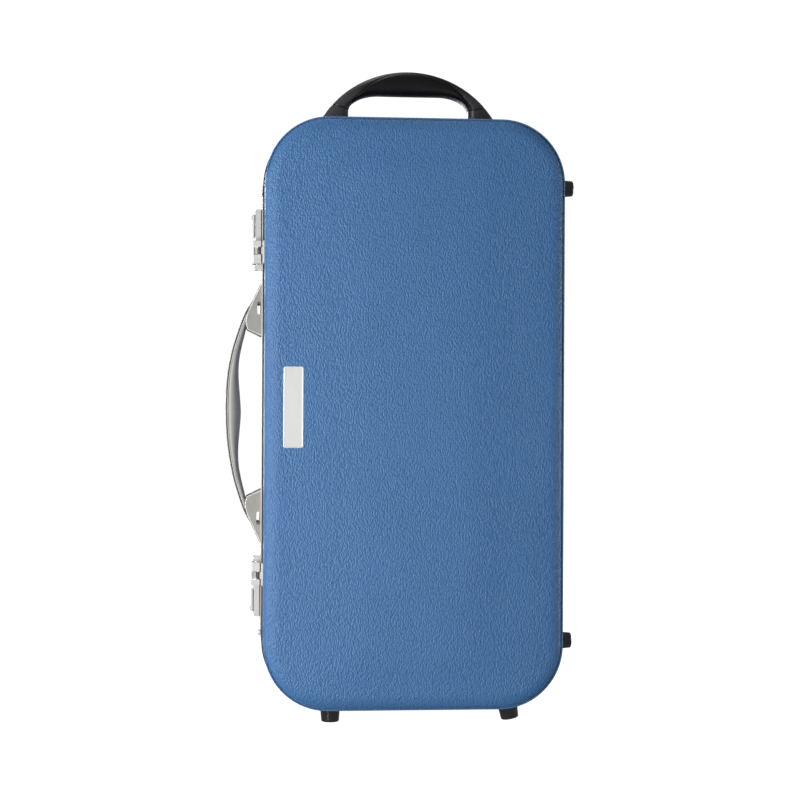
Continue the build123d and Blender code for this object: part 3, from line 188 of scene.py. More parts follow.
def ring_grid(columns, rows, insets, radius):
    """x and z of a grid of points whose k-th ring lies on the case's outline drawn in by insets[k].

    A point's ring is its distance in steps from the grid's edge. It goes round that ring's rounded
    rectangle by arc length, so the grid's corners fall on the middles of the corner arcs. The arcs'
    radius is the corner radius less the inset near the edge, and shrinks to nothing on the middle
    line.
    """
    i, j = np.meshgrid(np.arange(columns), np.arange(rows))
    steps = np.stack([i, columns - 1 - i, j, rows - 1 - j])
    side, level = steps.argmin(0), steps.min(0)
    inset = np.asarray(insets)[level]
    half_w, half_l = HALF_WIDTH - inset, HALF_LENGTH - inset
    turn = 0.5 * radius
    arc_radius = np.where(
        inset < turn, radius - inset, (radius - turn) * half_w / (HALF_WIDTH - turn)
    )
    upright = side < 2
    reach = np.where(upright, half_w, half_l)
    run = np.where(upright, half_l, half_w) - arc_radius
    count = np.where(upright, rows - 1, columns - 1) / 2
    share = (np.where(upright, j, i) - count) / np.maximum(count - level, 0.5)
    travel = np.abs(share) * (run + arc_radius * math.pi / 4)
    angle = np.maximum(travel - run, 0) / np.maximum(arc_radius, 1e-9)
    across = reach - arc_radius + arc_radius * np.cos(angle)
    along = np.sign(share) * (np.minimum(travel, run) + arc_radius * np.sin(angle))
    x = np.choose(side, [-across, across, along, along])
    z = np.choose(side, [along, along, -across, across])
    return x, z, inset, level


def edge_loop(columns, rows):
    """Indices of a grid's outermost points, in order round it."""
    index = np.arange(columns * rows).reshape(rows, columns)
    return np.concatenate(
        [index[0, :-1], index[:-1, -1], index[-1, :0:-1], index[:0:-1, 0]]
    )


def grid_faces(columns, rows, flip):
    """Quads of a grid of points, turned over when flip is set."""
    index = np.arange(columns * rows).reshape(rows, columns)
    quads = np.stack(
        [index[:-1, :-1], index[:-1, 1:], index[1:, 1:], index[1:, :-1]], -1
    ).reshape(-1, 4)
    return quads[:, ::-1] if flip else quads


def closed_tube(rings):
    """Quads round a stack of closed rings of points, and a flat face over each end."""
    count, around = rings.shape[:2]
    index = np.arange(count * around).reshape(count, around)
    following = np.roll(index, -1, 1)
    quads = np.stack([index[:-1], following[:-1], following[1:], index[1:]], -1).reshape(-1, 4)
    return quads.tolist() + [index[0][::-1].tolist(), index[-1].tolist()]


def make_piece(name, points, faces, body, nodes):
    """Mesh object in the case's frame that stands for CAD nodes.

    It rides on a body, unless none is given.
    """
    mesh = bpy.data.meshes.new(name)
    mesh.from_pydata(np.asarray(points, float).reshape(-1, 3).tolist(), [], faces)
    mesh.polygons.foreach_set("use_smooth", np.ones(len(mesh.polygons), bool))
    mesh.validate()
    piece = bpy.data.objects.new(name, mesh)
    bpy.context.scene.collection.objects.link(piece)
    if body:
        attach(piece, body)
    if nodes:
        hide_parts(*nodes)
    return piece


def sheet_piece(name, x, z, depth, flip, body, nodes):
    """Closed piece from a grid at x, z and a depth; a flat face closes its back."""
    rows, columns = x.shape
    points = np.stack([X_MID + x, Y_PART + depth, Z_MID + z], -1)
    cap = edge_loop(columns, rows)
    faces = grid_faces(columns, rows, flip).tolist()
    faces.append((cap if flip else cap[::-1]).tolist())
    return make_piece(name, points, faces, body, nodes)


def carried_profile(name, profile, radius, towards, body, nodes):
    """Closed profile of (inset, depth) points carried once round the case's outline.

    A point of the outline is a corner's middle plus the radius less the inset along the outward
    normal.
    """
    turns = np.linspace(0, math.pi / 2, 25)
    angles, centres = [], []
    corners = ((1, 1), (-1, 1), (-1, -1), (1, -1))
    middle_x, middle_z = HALF_WIDTH - radius, HALF_LENGTH - radius
    for quarter, (side, end) in enumerate(corners):
        angles.append(turns + quarter * math.pi / 2)
        centres.append(np.tile((side * middle_x, end * middle_z), (len(turns), 1)))
        next_corner = np.array(corners[(quarter + 1) % 4]) * (middle_x, middle_z)
        steps = np.linspace(0, 1, 32)[1:-1, None]
        centres.append((1 - steps) * centres[-1][-1] + steps * next_corner)
        angles.append(np.full(len(steps), (quarter + 1) * math.pi / 2))
    angle, centre = np.concatenate(angles), np.concatenate(centres)
    inset, depth = np.array(profile).T
    reach = radius - inset[None, :]
    x = centre[:, :1] + reach * np.cos(angle)[:, None]
    z = centre[:, 1:] + reach * np.sin(angle)[:, None]
    y = np.broadcast_to(towards * depth[None, :], x.shape)
    points = np.stack([X_MID + x, Y_PART + y, Z_MID + z], -1)
    around, across = x.shape
    index = np.arange(around * across).reshape(around, across)
    following = np.roll(index, -1, 0)
    faces = np.stack(
        [index, following, np.roll(following, -1, 1), np.roll(index, -1, 1)], -1
    ).reshape(-1, 4)
    if towards < 0:
        faces = faces[:, ::-1]
    return make_piece(name, points, faces.tolist(), body, nodes)


def store(piece, name, share):
    """Keeps a number from 0 to 1 at each point, for the material to read."""
    attribute = piece.data.attributes.new(name, "FLOAT", "POINT")
    attribute.data.foreach_set("value", np.ravel(share).astype(np.float32))


def sharpen(piece, degrees):
    """Faces that meet at more than an angle keep a crisp edge."""
    piece.data.set_sharp_from_angle(angle=math.radians(degrees))


def rounded(turns, power, far_power=None):
    """Cosine and sine of angles, each raised to a power with its sign kept: under one squares them.

    Where the cosine is negative, the other power holds if one is given.
    """
    if far_power:
        power = np.where(np.cos(turns) < 0, far_power, power)
    return [np.sign(wave) * np.abs(wave) ** power for wave in (np.cos(turns), np.sin(turns))]


def smoothed(places, knots, values, spread):
    """Values between knots, first straight and then averaged over a bell curve.

    They are mirrored at nothing, where the places start, so that they start level.
    """
    fine = np.linspace(-3 * spread, places[-1] + 3 * spread, 600)
    straight = np.interp(np.abs(fine), knots, values)
    slope = (values[-1] - values[-2]) / (knots[-1] - knots[-2])
    straight = np.where(fine > knots[-1], values[-1] + slope * (fine - knots[-1]), straight)
    weight = np.exp(-0.5 * ((places[:, None] - fine) / spread) ** 2)
    return (weight * straight).sum(1) / weight.sum(1)


def arc(middle, radius, start, end, count):
    """Points of a circle's arc between two angles in degrees."""
    angle = np.radians(np.linspace(start, end, count))
    return np.stack(
        [middle[0] + radius * np.cos(angle), middle[1] + radius * np.sin(angle)], -1
    ).tolist()


# Materials


def shade(colour, factor):
    """A colour made darker or lighter."""
    return tuple(min(channel * factor, 1.0) for channel in colour)


class Signal:
    """A number that varies over a surface. Python's operators add the Math nodes for it."""

    def __init__(self, finish, socket):
        self.finish, self.socket = finish, socket

    def math(self, operation, *values):
        node = self.finish.add(
            "ShaderNodeMath", {"operation": operation}, dict(enumerate(values))
        )
        return Signal(self.finish, node.outputs[0])

    def __add__(self, other):
        return self.math("ADD", self, other)

    def __sub__(self, other):
        return self.math("SUBTRACT", self, other)

    def __rsub__(self, other):
        return self.math("SUBTRACT", other, self)

    def __mul__(self, other):
        return self.math("MULTIPLY", self, other)

    def __pow__(self, other):
        return self.math("POWER", self, other)

    __radd__ = __add__
    __rmul__ = __mul__

    def absolute(self):
        return self.math("ABSOLUTE", self)

    def sine(self):
        return self.math("SINE", self)

    def least(self, other):
        return self.math("MINIMUM", self, other)

    def rise(self, low, high):
        """Nothing below low, one above high, smooth between."""
        node = self.finish.add(
            "ShaderNodeMapRange",
            {"interpolation_type": "SMOOTHSTEP"},
            {0: self, 1: low, 2: high},
        )
        return Signal(self.finish, node.outputs[0])

    def between(self, low, high, low_blur, high_blur):
        """One from low to high and nothing outside, with each end smoothed inwards over a blur."""
        return self.rise(low, low + low_blur) * (1 - self.rise(high - high_blur, high))


class Finish:
    """One material: a Principled surface and the nodes that vary it over Object coordinates.

    Sizes of patterns and reliefs are in millimetres, coordinates in metres.
    """

    def __init__(self, name, **constants):
        self.material = bpy.data.materials.new(name)
        self.material.use_nodes = True
        self.nodes = self.material.node_tree.nodes
        self.links = self.material.node_tree.links
        self.nodes.clear()
        sockets = {key.replace("_", " "): value for key, value in constants.items()}
        self.surface = self.add("ShaderNodeBsdfPrincipled", {}, sockets)
        self.add("ShaderNodeOutputMaterial", {}, {0: self.surface.outputs[0]})
        self.place = self.add("ShaderNodeTexCoord", {}, {}).outputs["Object"]

    def add(self, kind, settings, sockets):
        """Node of a type, with its settings first and then the values or links of its sockets."""
        node = self.nodes.new(kind)
        for name, value in settings.items():
            setattr(node, name, value)
        for name, value in sockets.items():
            value = value.socket if isinstance(value, Signal) else value
            if isinstance(value, bpy.types.NodeSocket):
                self.links.new(value, node.inputs[name])
            elif node.inputs[name].type == "RGBA":
                node.inputs[name].default_value = (*value, 1.0)
            else:
                node.inputs[name].default_value = value
        return node

    def axes(self):
        """The three coordinates of a point, in metres."""
        node = self.add("ShaderNodeSeparateXYZ", {}, {0: self.place})
        return [Signal(self, socket) for socket in node.outputs]

    def out_and_up(self):
        """How far a point lies from the left wall, and from the case's middle up or down."""
        x, _, z = self.axes()
        return LEFT_WALL - x, (z - Z_MID).absolute()

    def attribute(self, name):
        """The number that the piece keeps at its points under a name."""
        node = self.add("ShaderNodeAttribute", {"attribute_name": name}, {})
        return Signal(self, node.outputs["Fac"])

    def stretched(self, size):
        """Coordinates in which one unit is a size long: one for all axes, or one for each."""
        sizes = size if isinstance(size, tuple) else (size, size, size)
        scale = tuple(1 / (unit * MM) for unit in sizes)
        node = self.add("ShaderNodeMapping", {}, {"Vector": self.place, "Scale": scale})
        return node.outputs[0]

    def noise(self, size, detail=2.0, roughness=0.5):
        """Soft random pattern of a size."""
        sockets = {"Vector": self.stretched(size), "Scale": 1.0}
        sockets |= {"Detail": detail, "Roughness": roughness}
        node = self.add("ShaderNodeTexNoise", {}, sockets)
        return Signal(self, node.outputs[0])

    def cells(self, size, feature="F1", randomness=1.0):
        """Distance from the middles of cells of a size."""
        sockets = {"Vector": self.stretched(size), "Scale": 1.0, "Randomness": randomness}
        node = self.add("ShaderNodeTexVoronoi", {"feature": feature}, sockets)
        return Signal(self, node.outputs["Distance"])

    def mix(self, share, first, second):
        """Colour between two, by a share."""
        node = self.add(
            "ShaderNodeMix", {"data_type": "RGBA"}, {0: share, 6: first, 7: second}
        )
        return node.outputs[2]

    def tones(self, share, colour, dark, pale):
        """Colour between two shades of one, by a share."""
        return self.mix(share, shade(colour, dark), shade(colour, pale))

    def bump(self, height, relief, strength=1.0, under=None):
        """Normal of a surface raised by a height of 0 to 1 times a relief, over another normal."""
        sockets = {"Height": height, "Distance": relief * MM, "Strength": strength}
        if under is not None:
            sockets["Normal"] = under
        return self.add("ShaderNodeBump", {}, sockets).outputs[0]

    def vary(self, **sockets):
        """Links what changes over the surface to the Principled node."""
        for name, value in sockets.items():
            value = value.socket if isinstance(value, Signal) else value
            self.links.new(value, self.surface.inputs[name.replace("_", " ")])
        return self.material


def leatherette(name, colour):
    """Embossed vinyl: upright pebbles a few millimetres long, with painted shade in the creases
    between them and where it turns into a seam.
    """
    f = Finish(
        name,
        IOR=1.46,
        Specular_IOR_Level=0.38,
        Sheen_Weight=0.30,
        Sheen_Roughness=0.35,
        Sheen_Tint=(0.35, 0.62, 1.0),
    )
    ridges = 1 - f.cells((1.8, 1.8, 3.2), randomness=0.85)
    fine = f.noise((0.9, 0.9, 1.7), detail=0.5)
    cloud = f.noise((70, 70, 90))
    # Painted shade: the creases between the pebbles are darker and their tops paler; the cloud adds
    # tone that varies at random.
    paint = f.tones((ridges * 0.7 + cloud * 0.3).rise(0.2, 0.8), colour, 0.88, 1.08)
    # Painted shade: darker where the seam share is set, along the groove of the seam.
    paint = f.mix(f.attribute("seam"), paint, shade(colour, 0.7))
    rough = 0.47 - ridges * 0.06 + cloud * 0.06
    height = ridges * 0.8 + fine * 0.35
    return f.vary(Base_Color=paint, Roughness=rough, Normal=f.bump(height, 0.86))


def satin_metal(name, colour, roughness, grain, relief=0.012):
    """Brushed metal: fine lines along the long axis of grain, faint smears and a few worn spots."""
    f = Finish(name, Metallic=0.3, Specular_IOR_Level=0.4)
    lines = f.noise(grain, detail=3.0, roughness=0.65)
    smears = f.noise(18, detail=3.0)
    wear = f.noise(2.2, detail=4.0, roughness=0.7)
    tone = lines * 0.55 + smears * 0.25 + wear * 0.2
    paint = f.tones(tone.rise(0.25, 0.75), colour, 0.88, 1.08)
    rough = roughness - 0.10 + lines * 0.12 + smears * 0.10
    return f.vary(Base_Color=paint, Roughness=rough, Normal=f.bump(lines, relief, 0.8))


def bracket_plate(name, colour):
    """Satin sheet metal; the bead round its edge carries a painted highlight, and the very edge
    painted shade.

    The distance in from the edge is the least of the distances from the lines of the cheek's
    outline.
    """
    f = Finish(name, Metallic=0.35, Specular_IOR_Level=0.5)
    grain = f.noise((0.4, 0.4, 0.9), detail=3.0, roughness=0.7)
    smears = f.noise((9, 9, 14), detail=3.0)
    out, up = f.out_and_up()
    inside = 1.0
    for (out_a, up_a), (out_b, up_b) in zip(BRACKET_EDGE, BRACKET_EDGE[1:]):
        run = math.hypot(out_b - out_a, up_b - up_a)
        side_out, side_up = (up_b - up_a) / run, -(out_b - out_a) / run
        offset = (side_out * out_a + side_up * up_a) * MM
        distance = offset - out * side_out - up * side_up
        inside = distance.least(inside)
    # Painted highlight: the bead is pale, as if it caught the light along its bevel.
    bead = inside.between(0.50 * MM, 1.8 * MM, 0.35 * MM, 0.4 * MM)
    # Painted shade along the very edge of the outline.
    edge = 1 - inside.rise(0.4 * MM, 0.8 * MM)
    plain = f.tones((grain * 0.5 + smears * 0.5).rise(0.25, 0.75), colour, 0.88, 1.10)
    paint = f.mix(bead, plain, (0.72, 0.72, 0.70))
    paint = f.mix(edge, paint, shade(colour, 0.75))
    rough = 0.46 - bead * 0.2 + grain * 0.08
    height = bead * 0.8 + grain * 0.05
    return f.vary(Base_Color=paint, Roughness=rough, Normal=f.bump(height, 0.4, 0.8))


def latch_case(name, colour, out_from, out_to, up_from, up_to):
    """Satin nickel, with painted shade between two distances from the wall and two heights from the
    middle.
    """
    f = Finish(name, Metallic=0.3, Specular_IOR_Level=0.4)
    lines = f.noise((0.3, 0.3, 9), detail=3.0, roughness=0.65)
    out, up = f.out_and_up()
    dark = out.between(out_from, out_to, 0.2 * MM, 0.3 * MM)
    dark = dark * up.between(up_from, up_to, 0.2 * MM, 0.2 * MM)
    paint = f.tones(lines.rise(0.25, 0.75), colour, 0.88, 1.06)
    # Painted shade: a dark band where the shadow falls.
    paint = f.mix(dark, paint, shade(colour, 0.08))
    return f.vary(
        Base_Color=paint, Roughness=0.36 + lines * 0.12, Normal=f.bump(lines, 0.012, 0.8)
    )


def laminated_strap(name, colour):
    """Strap of pressed layers: its edge has a broad dark line halfway through its thickness."""
    f = Finish(name, Specular_IOR_Level=0.5)
    lines = 1 - (f.attribute("layer") - 0.5).absolute().rise(0.15, 0.38)
    ribs = f.noise((0.5, 0.5, 6))
    plain = f.tones(ribs.rise(0.3, 0.7), colour, 0.80, 1.0)
    paint = f.mix(lines, plain, shade(colour, 0.12))
    return f.vary(
        Base_Color=paint, Roughness=0.40 + ribs * 0.12, Normal=f.bump(1 - lines, 0.12, 0.8)
    )


def bow_moulding(name, colour):
    """Moulded grip with painted shade under the strap, painted light beside it that fades to painted
    shade across the middle, and painted light along its inner edge.
    """
    f = Finish(name, IOR=1.49, Specular_IOR_Level=0.35)
    layer = f.attribute("layer")
    stipple = f.noise(0.6, roughness=0.6)
    marks = f.noise(25, detail=4.0, roughness=0.6)
    # Painted light: paler beside the strap, on the side that faces the light, fading to painted shade
    # across the middle.
    paint = f.tones(layer.rise(0.06, 0.55), colour, 1.5, 0.78)
    # Painted light along the inner edge.
    paint = f.mix(layer.rise(0.55, 0.9), paint, shade(colour, 1.9))
    # Painted shade: a dark strip under the strap.
    paint = f.mix(layer.rise(0.02, 0.06), shade(colour, 0.3), paint)
    paint = f.mix(marks.rise(0.3, 0.7) * 0.15, paint, shade(colour, 0.5))
    return f.vary(
        Base_Color=paint, Roughness=0.42 + stipple * 0.1, Normal=f.bump(stipple, 0.02, 0.7)
    )


def handle_cover(name, colour):
    """Satin black moulding with a soft grained pad let into it; a groove along an arc parts them.

    The distance from the arc's middle less its radius tells the pad, inside, from the frame.
    """
    f = Finish(name, IOR=1.49, Specular_IOR_Level=0.25)
    x, _, z = f.axes()
    over_x = x - (HANDLE_X + PAD_ACROSS * MM)
    over_z = z - (HANDLE_BASE + PAD_UP * MM)
    outside = (over_x * over_x + over_z * over_z) ** 0.5 - PAD_RADIUS * MM
    pad_from = HANDLE_BASE + PAD_FROM * MM
    pad = (1 - outside.rise(-0.5 * MM, 0.1 * MM)) * z.rise(pad_from, pad_from + 0.5 * MM)
    pores = f.cells(1.7, feature="SMOOTH_F1")
    stipple = f.noise(0.7)
    marks = f.noise(25, detail=4.0, roughness=0.6)
    # Painted light: the frame is much paler on its legs, where the light falls, and darker towards its
    # top; the marks vary it at random.
    paint = f.tones(marks.rise(0.3, 0.7), colour, 7.5, 10.0)
    towards_top = z.rise(HANDLE_BASE + 22 * MM, HANDLE_BASE + 52 * MM)
    paint = f.mix(towards_top, paint, shade(colour, 2.0))
    paint = f.mix(pad, paint, shade(colour, 0.4))
    # Painted shade darkens the groove between the pad and the frame.
    groove = 1 - outside.absolute().rise(0.15 * MM, 0.75 * MM)
    paint = f.mix(groove * z.rise(pad_from, pad_from + 1 * MM), paint, shade(colour, 0.1))
    # Painted shade darkens the sloping groove across each leg.
    over = over_x.absolute()
    slope = (over - LEG_GROOVE_ACROSS * MM) * LEG_GROOVE_SLOPE
    above_groove = z - HANDLE_BASE - LEG_GROOVE_UP * MM - slope
    leg_groove = 1 - above_groove.absolute().rise(0.35 * MM, 0.8 * MM)
    paint = f.mix(leg_groove * over.rise(71 * MM, 73 * MM), paint, shade(colour, 0.1))
    rough = 0.30 + marks * 0.10 + pad * 0.12
    height = stipple * 0.25 + pores * pad * 1.2
    return f.vary(Base_Color=paint, Roughness=rough, Normal=f.bump(height, 0.22, 0.9))


def moulded(name, colour, roughness, texture, relief, specular=0.5):
    """Moulded plastic or rubber: a spark-eroded stipple of a size, with soft handling marks."""
    f = Finish(name, IOR=1.49, Specular_IOR_Level=specular)
    stipple = f.noise(texture, roughness=0.6)
    marks = f.noise(25, detail=4.0, roughness=0.6)
    paint = f.tones(marks.rise(0.3, 0.7), colour, 0.85, 1.15)
    rough = roughness - 0.07 + marks * 0.10 + stipple * 0.05
    return f.vary(Base_Color=paint, Roughness=rough, Normal=f.bump(stipple, relief, 0.7))


def plush(name, colour):
    """Short-pile velvet: fibre tufts, patches where the pile lies another way, and a soft sheen."""
    f = Finish(name, Specular_IOR_Level=0.12, Sheen_Weight=0.6, Sheen_Roughness=0.45)
    tufts = f.noise((0.8, 0.8, 1.1), detail=3.0, roughness=0.7)
    lay = f.noise((60, 60, 90))
    paint = f.tones((tufts * 0.75 + lay * 0.25).rise(0.2, 0.8), colour, 0.75, 1.25)
    normal = f.bump(tufts, 0.35, 0.8, f.bump(lay, 0.6, 0.4))
    return f.vary(Base_Color=paint, Roughness=0.86 + tufts * 0.1, Normal=normal)


def woven_lining(name, colour):
    """Glued cloth lining on the board: a fine plain weave of crossing threads."""
    f = Finish(name, Specular_IOR_Level=0.2)
    x, y, z = f.axes()
    pitch = 2 * math.pi / (0.9 * MM)
    warp = (x * pitch + y * pitch).sine()
    weft = (z * pitch).sine()
    weave = warp * weft * 0.5 + 0.5
    slub = f.noise((6, 6, 2), detail=3.0)
    paint = f.tones(weave * 0.5 + slub * 0.5, colour, 0.6, 1.35)
    return f.vary(Base_Color=paint, Roughness=0.82 + slub * 0.1, Normal=f.bump(weave, 0.08, 0.6))


def pale_plate(name, colour):
    """Pale brushed plate, bare: fine lines down its length, and faint smears."""
    f = Finish(name, Metallic=0.35, Specular_IOR_Level=0.5)
    lines = f.noise((0.35, 0.35, 22), detail=3.0, roughness=0.6)
    smears = f.noise((14, 14, 30))
    paint = f.tones((lines * 0.6 + smears * 0.4).rise(0.3, 0.7), colour, 0.93, 1.0)
    return f.vary(Base_Color=paint, Roughness=0.34 + lines * 0.14, Normal=f.bump(lines, 0.01, 0.6))


def dress(finish, *names, edge=0.0):
    """Gives CAD nodes a finish, and eases their sharp edges by a width in metres."""
    for name in names:
        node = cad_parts[name]
        for slot in node.material_slots:
            slot.material = finish
        if edge:
            weld = node.modifiers.new("Join", "WELD")
            weld.merge_threshold = 1e-6
            bevel = node.modifiers.new("Eased edges", "BEVEL")
            bevel.width = edge
            bevel.segments = 2
            bevel.limit_method = "ANGLE"
            bevel.angle_limit = math.radians(35)
            bevel.harden_normals = True


# Settings


def length(name, description, default, low=0.0, high=1.0):
    return FloatProperty(
        name=name,
        description=description,
        default=default,
        min=low,
        max=high,
        subtype="DISTANCE",
        unit="LENGTH",
    )


def power(name, description, default):
    return FloatProperty(
        name=name, description=description, default=default, min=0.0, unit="POWER"
    )


def colour(name, description, default):
    return FloatVectorProperty(
        name=name,
        description=description,
        default=default,
        size=3,
        min=0.0,
        max=1.0,
        subtype="COLOR",
    )


class CaseSizes(bpy.types.PropertyGroup):
    corner_radius: length("Corner radius", "Radius of the case's outline at its corners", 0.070)
    seam_inset: length("Seam inset", "How far in the padded panels start", 0.0026)
    lip_radius: length("Lip radius", "Radius of the covering rolled over the wall's edge", 0.00095)
    crown_run: length("Crown run", "How far in the padded panels turn flat", 0.0135)
    slope_rise: length("Slope rise", "How far the lid's middle stands above its border", 0.0032)
    slope_width: length("Slope width", "Width of the gentle slopes at the sides of the lid", 0.105)
    slope_length: length("Slope length", "Length of the gentle slopes at the lid's ends", 0.062)
    unevenness: length("Unevenness", "Height of the waves in the stretched covering", 0.00022)
    bay_lip: length("Bay lip", "Width of the rounded lip of the foam's bays", 0.0045)


class CaseColours(bpy.types.PropertyGroup):
    leatherette: colour("Leatherette", "Embossed covering of both shells", (0.0395, 0.120, 0.272))
    plush: colour("Plush", "Pile that covers the foam", (0.016, 0.021, 0.040))
    lining: colour("Lining", "Cloth inside the shells", (0.018, 0.022, 0.036))
    black: colour("Black plastic", "Feet, top handle and seal", (0.0045, 0.0045, 0.005))
    grip: colour("Grip", "Moulded grip of the side handle", (0.20, 0.196, 0.188))
    strap: colour("Strap", "Strap on the grip and its links", (0.25, 0.245, 0.238))
    nickel: colour("Nickel", "Latches, hinges and rivets", (0.49, 0.485, 0.465))
    aluminium: colour("Aluminium", "Strip and rims", (0.46, 0.45, 0.43))
    bracket: colour("Brackets", "Sheet metal of the side handle's brackets", (0.278, 0.265, 0.239))
    plate: colour("Label plate", "Bare plate on the lid", (0.635, 0.64, 0.63))


class CaseStage(bpy.types.PropertyGroup):
    distance: length("Camera distance", "From the camera to the case's middle", 2.2, 0.5, 10.0)
    key: power("Key light", "Power of the soft light on the left of the camera", 49.0)
    side: power("Side light", "Power of the light from the right", 19.0)
    top: power("Top light", "Power of the light from above", 9.0)
    back: power("Back light", "Power of the light from behind", 22.0)
    fill: FloatProperty(
        name="Fill light", description="Strength of the even light all round", default=0.22, min=0.0
    )


# Operators


class CaseOperator:
    """What the operators of the pieces share: they build from the sizes and the colours."""

    bl_options = {"REGISTER", "UNDO"}

    def execute(self, context):
        self.build(context.scene.case_sizes, context.scene.case_colours)
        return {"FINISHED"}


def covering(colours):
    """The leatherette, made once for all pieces that it covers."""
    return bpy.data.materials.get("leatherette_blue") or leatherette(
        "leatherette_blue", colours.leatherette
    )


def panel_profile(sizes, wall, crown, columns, edge_rings):
    """Insets and depths of a padded panel's rings.

    They come up out of the seam and over a quarter ellipse, and then stay flat.
    """
    sunk = 0.2 * MM
    rings = (columns + 1) // 2
    turn = np.radians(np.linspace(0, 90, edge_rings))
    insets = sizes.seam_inset + sizes.crown_run * (1 - np.cos(turn))
    inner = np.linspace(insets[-1], HALF_WIDTH, rings - edge_rings)[1:]
    insets = np.concatenate([insets[:1], insets, inner])
    rises = np.concatenate([[-sunk], crown * np.sin(turn), np.full(len(inner), crown)])
    return insets[:rings], (wall + rises)[:rings]


def slopes(sizes, x, z):
    """Rise of a panel towards its middle: the smaller of its rises from the sides and the ends.

    The smaller of the two is taken softly, so that creases like a hipped roof's run in from the
    corners, and it turns softly level at one.
    """
    crease, levelling = 14.0, 20.0
    from_side = (HALF_WIDTH - np.abs(x)) / sizes.slope_width
    from_end = (HALF_LENGTH - np.abs(z)) / sizes.slope_length
    least = -np.log(np.exp(-crease * from_side) + np.exp(-crease * from_end)) / crease
    return np.clip(1 - np.log(1 + np.exp(levelling * (1 - least))) / levelling, 0, 1)


def border_fade(sizes, inset):
    """Nothing at the seam, one past the crown."""
    return smooth_step(sizes.seam_inset, sizes.seam_inset + sizes.crown_run, inset)


class CASE_OT_lid_panel(CaseOperator, bpy.types.Operator):
    """Padded front panel of the lid, which covers the band's edge on the latches' side"""

    bl_idname = "bassoon_case.lid_panel"
    bl_label = "Lid panel"

    def build(self, sizes, colours):
        columns, rows, seam_rings = 121, 231, 3
        fuller, pushed, pushed_width = 1.8 * MM, 1.9 * MM, 8 * MM
        crown = LID_CROWN - sizes.slope_rise + fuller
        insets, depths = panel_profile(sizes, LID_WALL, crown, columns, 18)
        x, z, inset, level = ring_grid(columns, rows, insets, sizes.corner_radius)
        fade = border_fade(sizes, inset)
        rise = sizes.slope_rise * slopes(sizes, x, z) * fade
        rise += sizes.unevenness * ripple(x, z, 7) * fade
        depth = -(depths[level] + rise)
        beside = smooth_step(HALF_LENGTH - 0.04, HALF_LENGTH - 0.075, np.abs(z))
        border = 1 - smooth_step(0, pushed_width, inset - sizes.seam_inset)
        x = x - pushed * beside * (x < 0) * border
        piece = sheet_piece(
            "lid_panel_cover", x, z, depth, False, "lid", ["lid_front_panel"]
        )
        piece.data.materials.append(covering(colours))
        # The seam share sets painted shade along the panel's edge, but not beside the latches.
        store(piece, "seam", (level < seam_rings) * (1 - beside))


class CASE_OT_rear_panel(CaseOperator, bpy.types.Operator):
    """Padded rear panel of the back shell"""

    bl_idname = "bassoon_case.rear_panel"
    bl_label = "Rear panel"

    def build(self, sizes, colours):
        columns, rows, seam_rings = 101, 191, 3
        slope_rise = 0.8 * MM
        insets, depths = panel_profile(sizes, BACK_WALL, REAR_CROWN - slope_rise, columns, 14)
        x, z, inset, level = ring_grid(columns, rows, insets, sizes.corner_radius)
        fade = border_fade(sizes, inset)
        rise = slope_rise * slopes(sizes, x, z) * fade
        rise += sizes.unevenness * ripple(x, z, 11) * fade
        depth = depths[level] + rise
        piece = sheet_piece(
            "rear_panel_cover", x, z, depth, True, "back", ["back_rear_panel"]
        )
        piece.data.materials.append(covering(colours))
        # The seam share sets painted shade along the panel's edge.
        store(piece, "seam", level < seam_rings)


class CASE_OT_side_bands(CaseOperator, bpy.types.Operator):
    """Leatherette bands round both shells, each rolled over the wall's edge into the seam"""

    bl_idname = "bassoon_case.side_bands"
    bl_label = "Side bands"

    def build(self, sizes, colours):
        lip, lip_rise = sizes.lip_radius, 0.8 * MM
        rim_round, inner_face, tucked = 0.4 * MM, 1.15 * MM, 5 * MM
        for name, body, wall, towards, node in (
            ("lid_band_cover", "lid", LID_WALL, -1, "lid_side_band"),
            ("back_band_cover", "back", BACK_WALL, 1, "back_side_band"),
        ):
            profile = [(inner_face, RIM_DEPTH), (0.25 * MM, RIM_DEPTH)]
            profile += arc((rim_round, RIM_DEPTH + rim_round), rim_round, 250, 180, 4)
            straight = np.linspace(RIM_DEPTH + 1.5 * MM, wall - 3 * MM, 12)
            profile += [(0.0, depth) for depth in straight]
            profile += arc((lip, wall + lip_rise - lip), lip, 180, 20, 15)
            profile += [(2 * lip, wall + 0.05 * MM), (tucked, wall + 0.05 * MM)]
            profile += [(tucked, wall - 0.8 * MM), (inner_face, wall - 0.8 * MM)]
            piece = carried_profile(
                name, profile, sizes.corner_radius, towards, body, [node]
            )
            sharpen(piece, 50)
            piece.data.materials.append(covering(colours))
            inset, depth = np.array(profile).T
            # Painted shade: the seam share is set where the band turns down into the seam.
            deep = smooth_step(1.25 * lip, 1.75 * lip, inset) * (depth > wall - 0.5 * MM)
            store(piece, "seam", np.tile(deep, len(piece.data.vertices) // len(profile)))


